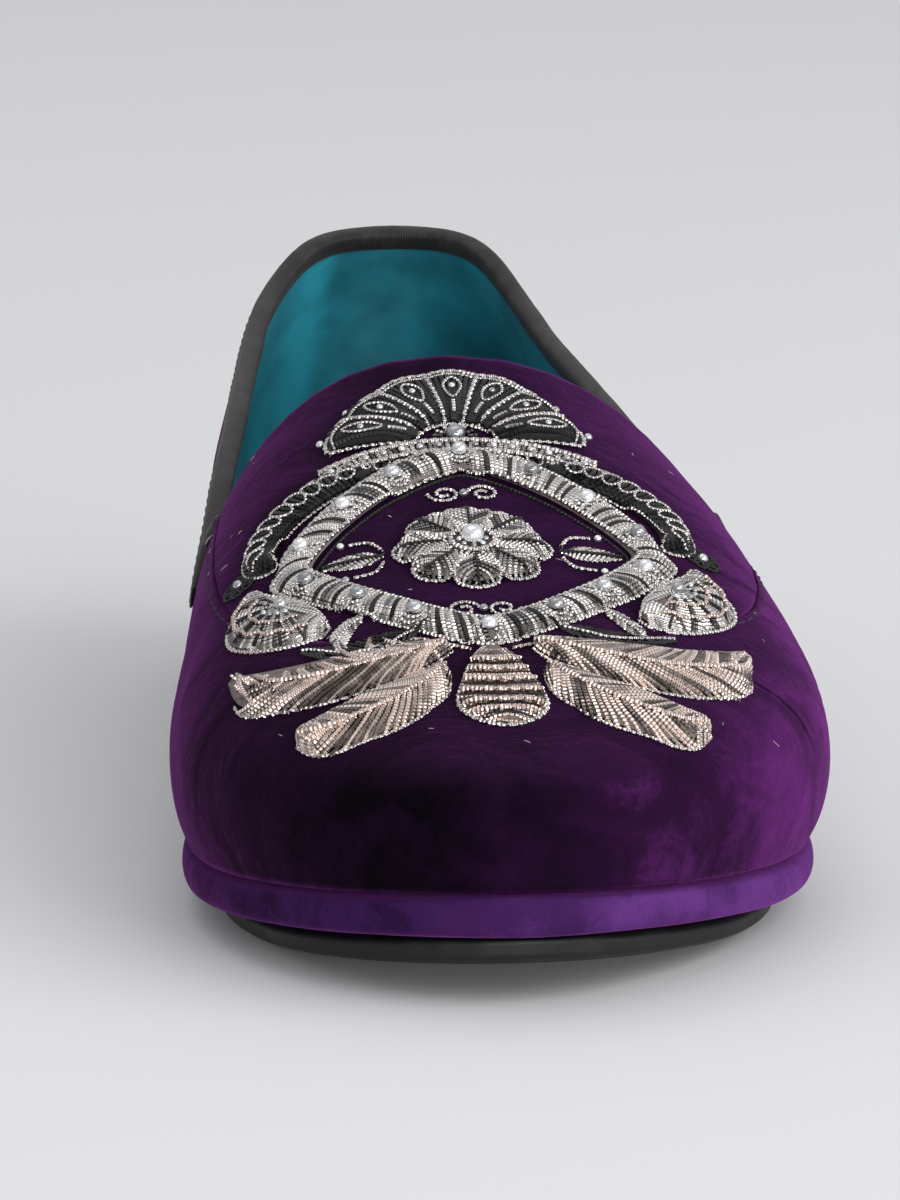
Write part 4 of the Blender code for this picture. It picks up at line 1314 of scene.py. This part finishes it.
class SLIPPER_OT_lozenge(bpy.types.Operator):
    """Works the lozenge frame: two rails of cord with cross wires and ringed stones between them"""

    bl_idname = "slipper.lozenge"
    bl_label = "Lozenge frame"

    def execute(self, context):
        work = Bullion(67)
        spacing = LOZENGE_THREADS // LOZENGE_STONES
        slant = 0.9 * FULL_TURN / LOZENGE_THREADS
        for k in range(LOZENGE_THREADS):
            turn = FULL_TURN * k / LOZENGE_THREADS
            middle = self.place(turn)
            if k % spacing == 0:
                work.beads([middle], 1.3, 0.25, "stone")
                for radius, thickness in ((0.042, 0.72), (0.060, 0.60)):
                    work.cord(ring(middle, radius), SILVER, thickness, lift=0.05, closed=True)
                continue
            ends = [self.place(turn + side * slant, side * LOZENGE_HALF_WIDTH) for side in (-1, 1)]
            material = DARK if k % spacing in (5, 10) else SILVER
            work.strand([ends[0], middle, ends[1]], material, 0.85)
        rails = ((1, SILVER, 1.0), (-1, SILVER, 0.9), (-1.45, DARK, 0.6))
        for part, material, thickness in rails:
            turns = np.linspace(0, FULL_TURN, 65)[:-1]
            rail = [self.place(turn, part * LOZENGE_HALF_WIDTH) for turn in turns]
            work.cord(rail, material, thickness, closed=True)
        work.finish("silver_wire", "lozenge")
        return {"FINISHED"}

    def place(self, turn, beyond=0.0):
        """A place on the frame's centre line, or beyond it."""
        c, s = math.cos(turn), math.sin(turn)
        form = (abs(c) ** LOZENGE_FORM + abs(s) ** LOZENGE_FORM) ** (1 / LOZENGE_FORM)
        radius = (LOZENGE_REACH + beyond) / form
        return (radius * s, radius * c)


class SLIPPER_OT_fan(bpy.types.Operator):
    """Works the fan: seven dark cells outlined in silver cord, each with a small silver figure"""

    bl_idname = "slipper.fan"
    bl_label = "Fan"

    def execute(self, context):
        work = Bullion(71)
        cell_turn = 2 * FAN_TURN / FAN_LOBES
        middles = [(cell - (FAN_LOBES - 1) / 2) * cell_turn for cell in range(FAN_LOBES)]
        for middle in middles:
            for k in range(8):
                turn = middle + cell_turn * (k + 0.5 - 4) / 8
                work.strand(self.ray(turn, 0.17, 0.33, self.edge(turn, 0.97)), DARK, 0.95)
            left, right = (self.ray(middle + way * cell_turn * 0.22, 0.38)[0] for way in (1, -1))
            head, foot = self.ray(middle, 0.45, 0.29)
            work.cord([head, left, foot, right], SILVER, 0.54, lift=0.45, closed=True)
            work.beads(self.ray(middle, 0.375), 0.62, 0.35)
            work.strand(self.ray(middle, 0.20, 0.235, 0.27), SILVER, 0.7, lift=0.35)
        for edge in range(FAN_LOBES + 1):
            work.cord(self.ray(-FAN_TURN + cell_turn * edge, 0.17, 0.33, 0.49), SILVER, 0.85, lift=0.25)
        turns = np.linspace(-FAN_TURN, FAN_TURN, 71)
        work.cord(self.arc(turns, lambda turn: self.edge(turn)), SILVER, 1.05, lift=0.1)
        work.cord(self.arc(turns[::5], lambda turn: FAN_RADII[0] + 0.012), SILVER, lift=0.1)
        work.cord(self.arc(turns, lambda turn: self.edge(turn) - 0.032), SILVER, 0.5, lift=0.3)
        work.beads(self.arc(middles, lambda turn: self.edge(turn) + 0.03), 0.75)
        work.finish("dark_wire", "palmette")
        return {"FINISHED"}

    def ray(self, turn, *radii):
        """Places at some radii of the fan, at one turn."""
        return [(radius * math.sin(turn), FAN_FOOT - radius * math.cos(turn)) for radius in radii]

    def arc(self, turns, radius):
        """Places at some turns of the fan, at radius(turn)."""
        return [self.ray(turn, radius(turn))[0] for turn in turns]

    def edge(self, turn, part=1.0):
        """The radius of the fan's scalloped edge, or of a part of the way to it from the fan's middle."""
        inner, outer = FAN_RADII
        lobe = abs(math.cos(FAN_LOBES / 2 * math.pi * turn / FAN_TURN))
        return (inner + outer) / 2 + part * (outer - inner) / 2 * (0.86 + 0.14 * lobe)


class SLIPPER_OT_curls(bpy.types.Operator):
    """Works the curls beside the frame in dark wire, looped and edged with silver"""

    bl_idname = "slipper.curls"
    bl_label = "Curls"

    def execute(self, context):
        for side, word in SIDES:
            strip = Strip(CURL_ROWS, side)
            work = Bullion(83 + side)
            work.crossed(strip, 30, 0.04, DARK, 0.9)
            for k in range(9):
                work.cord(strip.loop(0.12 + 0.09 * k, 0.045, 0.62), SILVER, 0.52, lift=0.35, closed=True)
            work.cord(strip.outline(), SILVER, 0.7)
            work.finish("dark_wire", f"curl_{word}")
        return {"FINISHED"}


class SLIPPER_OT_tendrils(bpy.types.Operator):
    """Adds the bar under the fan, its rays, and the sprays, spirals, lace and sprigs between the motifs"""

    bl_idname = "slipper.tendrils"
    bl_label = "Tendrils and sprigs"

    def execute(self, context):
        work = Bullion(97)
        bar = Strip([(reach, -0.825 + 0.10 * (reach / 0.5) ** 2, 0.045) for reach in BAR_REACHES])
        for part in (-1.0, 1.0):
            work.cord(bar.along((0, 0.2, 0.4, 0.6, 0.8, 1), part), SILVER, 1.05, lift=0.5)
        work.crossed(bar, 44, 0.0, SILVER, 0.9, reach=0.8)
        work.beads(bar.along([(k + 0.5) / 15 for k in range(15)]), 0.62, 0.7)
        work.beads([(0, -0.93)], 1.7, kind="stone")
        for k in range(7):
            turn = math.pi * (k / 6 - 0.5) * 0.9
            work.strand([(r * math.sin(turn), -0.92 - r * math.cos(turn)) for r in (0.05, 0.09)], SILVER, 0.9)
        for side in (OUTER, INNER):
            self.side_work(work, side)
        for along, start in ((0.47, 0.0), (-0.45, math.pi)):
            for side in (OUTER, INNER):
                work.cord(spiral((side * 0.075, along), 0.065, 0.018, 1.4, start, side), SILVER, 0.72)
            work.beads([(0, along)], 0.8)
        declare(work.build("tendrils_bullion"), "silver_wire")
        return {"FINISHED"}

    def side_work(self, work, side):
        """One side: the spray in the frame, the ball at the curl's end, the lace, the sprigs and the stem."""
        spray = Strip(SPRAY_ROWS, side)
        work.feathered(spray, 12, 0.25, SILVER, 0.6)
        work.cord(spray.along((0, 0.5, 1)), DARK, 0.64, lift=0.3)
        for along in (-0.13, 0.13):
            stalk = [(side * 0.34, along * 0.35), (side * 0.38, along * 0.9), (side * 0.46, along)]
            work.cord(stalk, SILVER, 0.72)
            work.beads([(side * 0.49, along * 1.05)], 0.7)
        ball = (side * 0.91, -0.20)
        for centre in mirrored_ring(ball, 0.045, 7):
            work.cord(mirrored_ring(centre, 0.032, 6), DARK, 0.56, lift=0.15, closed=True)
        work.beads([ball], 0.9, 0.2)
        lace = Strip(LACE_ROWS, side)
        work.crossed(lace, 18, 0.05, DARK, 0.8)
        for k in range(7):
            work.cord(lace.loop(0.12 + 0.13 * k, 0.055, 0.8), SILVER, 0.48, lift=0.3, closed=True)
        for rows, material in ((LONG_SPRIG, DARK), (SHORT_SPRIG, SILVER)):
            sprig = Strip(rows, side)
            work.feathered(sprig, 11, 0.2, material, 0.7)
            work.cord(sprig.along((0, 0.5, 1)), SILVER, 0.6, lift=0.3)
        work.cord([(side * 0.08, 0.80), (side * 0.20, 0.76), (side * 0.34, 0.765)], CHAMPAGNE, 0.8)


def wall_ray(share, side, turn):
    """The spine's place and the level way out from it to a place of the wall; turn fans it round the heel."""
    y = along_to_y(min(max(share, HEEL_POLE), TOE_POLE))
    end = 1 if share < 0.5 else -1
    return Vector((ridge_x(y), y, 0)), Vector((side * math.cos(turn), end * math.sin(turn), 0))


def wall_point(tree, share, side, height, turn=0.0):
    """The point and the normal of the wall at a height, looked for from outside."""
    spine, away = wall_ray(share, side, turn)
    return tree.ray_cast(spine + Vector((0, 0, height)) + away * 0.2, -away)[:2]


def wall_top(tree, share, side, turn=0.0):
    """The highest point of the wall at one place round the shoe."""
    spine, away = wall_ray(share, side, turn)
    low, high = 20 * MM, 90 * MM
    for _ in range(14):
        middle = (low + high) / 2
        hit, _ = wall_point(tree, share, side, middle, turn)
        if hit is None or (hit - spine).dot(away) < 0:
            high = middle
        else:
            low = middle
    return low


class SLIPPER_OT_stitches(bpy.types.Operator):
    """Sews the seams: stitches beside the apron and below the collar's tape, bar tacks and a little lint"""

    bl_idname = "slipper.stitches"
    bl_label = "Stitches"

    def execute(self, context):
        bundle = Bundle(103)
        upper, tongue = needed("upper_cover"), needed("tongue_cover")
        self.sew_collar(bundle, tree_of(upper, needed("collar_tape_cover")))
        self.sew_apron(bundle, tree_of(upper), tree_of(tongue))
        declare(bundle.build("seam_stitches"), "velvet")
        self.strew_lint(tree_of(upper, tongue))
        return {"FINISHED"}

    def stitch(self, bundle, start, end, normal, radius, material="seam_thread"):
        """One stitch between two points, arched a little and sunk at its ends."""
        shares = (0.0, 0.25, 0.5, 0.75, 1.0)
        arch = [normal * radius * (0.9 * math.sin(math.pi * s) - 0.6) for s in shares]
        points = np.array([start + (end - start) * s + lift for s, lift in zip(shares, arch)])
        bundle.sweep(shape("strand"), (points, np.array([normal] * len(shares))), radius, material, flat=0.8)

    def sew_line(self, bundle, line, radius, length):
        """Stitches along a line of (point, normal), with a short gap after each."""
        line = np.array(line)
        lengths = running_lengths(line[:, 0])
        count = int(lengths[-1] / (length * 1.35))

        def read(distance, column):
            return np.array([np.interp(distance, lengths, line[:, column, i]) for i in range(3)])

        for k in range(count):
            start, end = (lengths[-1] * (k + share) / count for share in (0.12, 0.86))
            self.stitch(bundle, read(start, 0), read(end, 0), unit(read(start, 1)), radius)

    def sew_collar(self, bundle, tree):
        """A row of dark stitches near the tape's lower edge, from notch to notch."""
        half = [(NOTCH - (NOTCH - HEEL_POLE) * k / 40, 0.0) for k in range(1, 41)]
        half += [(HEEL_POLE, math.pi / 2 * k / 14) for k in range(1, 15)]
        line = []
        for side, stations in ((OUTER, half), (INNER, half[-2::-1])):
            for share, turn in stations:
                top = wall_top(tree, share, side, turn)
                hit, normal = wall_point(tree, share, side, top - 3.0 * MM, turn)
                if hit is not None:
                    line.append((hit, normal))
        self.sew_line(bundle, line, 0.14 * MM, sizes().stitch)

    def sew_apron(self, bundle, upper, tongue):
        """A row of velvet-coloured stitches beside the apron's seam, and a bar tack at each ear."""
        for side in (OUTER, INNER):
            line = []
            for k in range(30):
                y = along_to_y(EAR + 0.008 + APRON_SEAM * k / 29)
                reach = self.seam_reach(tongue, y, side)
                hit, normal = drop_on(upper, ridge_x(y) + side * (reach + 1.3 * MM), y)
                if hit is not None:
                    line.append((hit, normal))
            self.sew_line(bundle, line, 0.26 * MM, sizes().stitch * 1.15)
            start, normal = (np.array(value) for value in line[0])
            down = np.array((side * 1.3, 0, -1.6)) * MM
            for k in range(5):
                place = start + np.array((0, -0.45 * MM * k, 0))
                material = "pale_lint" if k % 2 else "seam_thread"
                self.stitch(bundle, place, place + down, normal, 0.28 * MM, material)

    def seam_reach(self, tongue, y, side):
        """How far the apron reaches from the ridge at a place along the shoe."""
        low, high = 0.0, 60 * MM
        for _ in range(12):
            middle = (low + high) / 2
            hit, _ = drop_on(tongue, ridge_x(y) + side * middle, y)
            low, high = (middle, high) if hit is not None else (low, middle)
        return low

    def strew_lint(self, tree):
        """A few short pale fibres caught in the nap."""
        bundle = Bundle(131)
        rolls = bundle.random
        low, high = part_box("upper")
        while bundle.count < 46 * len(shape("strand").points):
            x = rolls.uniform(low.x, high.x)
            y = rolls.uniform(low.y, along_to_y(0.45))
            hit, normal = drop_on(tree, x, y)
            if hit is None or hit.z < 18 * MM:
                continue
            turn = rolls.uniform(0, FULL_TURN)
            way = normal.cross(Vector((math.cos(turn), math.sin(turn), 0))).normalized()
            way *= rolls.uniform(0.35, 0.9) * MM
            ends = np.array(hit - way), np.array(hit + way)
            self.stitch(bundle, *ends, np.array(normal), rolls.uniform(0.05, 0.09) * MM, "pale_lint")
        declare(bundle.build("velvet_lint"), "velvet")


class SLIPPER_OT_stage(bpy.types.Operator):
    """Sets up the pale floor that curves up all round, the soft lights and the camera"""

    bl_idname = "slipper.stage"
    bl_label = "Studio"

    def execute(self, context):
        studio = context.scene.slipper_studio
        self.lay_floor()
        for name, place, target, size, power in LIGHTS:
            light = bpy.data.lights.new(name, "AREA")
            light.shape = "RECTANGLE"
            light.size, light.size_y = size
            light.energy = getattr(studio, power)
            self.aim(name, light, place, target)
        world = bpy.data.worlds.new("studio_world")
        world.use_nodes = True
        background = world.node_tree.nodes["Background"]
        background.inputs["Color"].default_value = ROOM_COLOUR
        background.inputs["Strength"].default_value = studio.sky
        context.scene.world = world
        context.scene.view_settings.view_transform = "Standard"
        camera = bpy.data.cameras.new("photo_camera")
        camera.sensor_width = camera.sensor_height = 36
        camera.sensor_fit = "AUTO"
        camera.lens = studio.lens
        camera.clip_start = 0.05
        context.scene.camera = self.aim("photo_camera", camera, CAMERA_PLACE, CAMERA_TARGET)
        return {"FINISHED"}

    def lay_floor(self):
        """A round floor whose rim is drawn up and rounded."""
        deselect()
        bpy.ops.mesh.primitive_circle_add(vertices=96, radius=FLOOR_RADIUS, fill_type="NGON")
        floor = bpy.context.object
        floor.name = "studio_floor"
        bpy.ops.object.mode_set(mode="EDIT")
        bpy.ops.mesh.select_mode(type="EDGE")
        bpy.ops.mesh.select_all(action="SELECT")
        bpy.ops.mesh.region_to_loop()
        bpy.ops.mesh.extrude_region_move(TRANSFORM_OT_translate={"value": (0, 0, FLOOR_RIM)})
        bpy.ops.mesh.select_all(action="DESELECT")
        mesh = bmesh.from_edit_mesh(floor.data)
        for edge in mesh.edges:
            edge.select_set(all(v.co.z < 0.01 for v in edge.verts))
        bmesh.update_edit_mesh(floor.data)
        bpy.ops.mesh.bevel(offset=FLOOR_RIM * 0.7, segments=12)
        bpy.ops.object.mode_set(mode="OBJECT")
        bpy.ops.object.shade_smooth()
        floor.data.materials.append(finish_material("studio_paper", FLOOR_COLOUR, 0.9))
        floor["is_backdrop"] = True

    def aim(self, name, data, place, target):
        """Puts a light or the camera in its place, turned to look at a target."""
        obj = bpy.data.objects.new(name, data)
        bpy.context.scene.collection.objects.link(obj)
        obj.location = place
        obj.rotation_euler = (Vector(target) - Vector(place)).to_track_quat("-Z", "Y").to_euler()
        return obj


class SLIPPER_PT_sidebar(bpy.types.Panel):
    """Lists the slipper's pieces, sizes, colours and light"""

    bl_idname = "SLIPPER_PT_sidebar"
    bl_label = "Slipper"
    bl_space_type = "VIEW_3D"
    bl_region_type = "UI"
    bl_category = "Slipper"

    def draw(self, context):
        for name, _ in GROUPS:
            group = getattr(context.scene, name)
            box = self.layout.box()
            for key in group.__annotations__:
                box.prop(group, key)
        for piece in PIECES:
            self.layout.operator(piece.bl_idname)


GROUPS = (
    ("slipper_sizes", SlipperSizes),
    ("slipper_colours", SlipperColours),
    ("slipper_studio", SlipperStudio),
)
PIECES = (
    SLIPPER_OT_tongue, SLIPPER_OT_upper, SLIPPER_OT_binding, SLIPPER_OT_platform, SLIPPER_OT_soles,
    SLIPPER_OT_insole, SLIPPER_OT_padding, SLIPPER_OT_leaves, SLIPPER_OT_buds, SLIPPER_OT_bell,
    SLIPPER_OT_rosette, SLIPPER_OT_lozenge, SLIPPER_OT_fan, SLIPPER_OT_curls, SLIPPER_OT_tendrils,
    SLIPPER_OT_stitches, SLIPPER_OT_stage,
)


def register():
    for name, group in GROUPS:
        bpy.utils.register_class(group)
        setattr(bpy.types.Scene, name, bpy.props.PointerProperty(type=group))
    for piece in PIECES:
        bpy.utils.register_class(piece)
    bpy.utils.register_class(SLIPPER_PT_sidebar)


def unregister():
    bpy.utils.unregister_class(SLIPPER_PT_sidebar)
    for piece in reversed(PIECES):
        bpy.utils.unregister_class(piece)
    for name, group in reversed(GROUPS):
        delattr(bpy.types.Scene, name)
        bpy.utils.unregister_class(group)


def corners(box):
    return [list(corner) for corner in box]


def main():
    """Registers the add-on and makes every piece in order."""
    register()
    for piece in PIECES:
        category, name = piece.bl_idname.split(".")
        getattr(getattr(bpy.ops, category), name)()
    deselect()
    {"cad": corners(CAD_BOX), "visual": corners(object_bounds())}


if __name__ == "__main__":
    main()
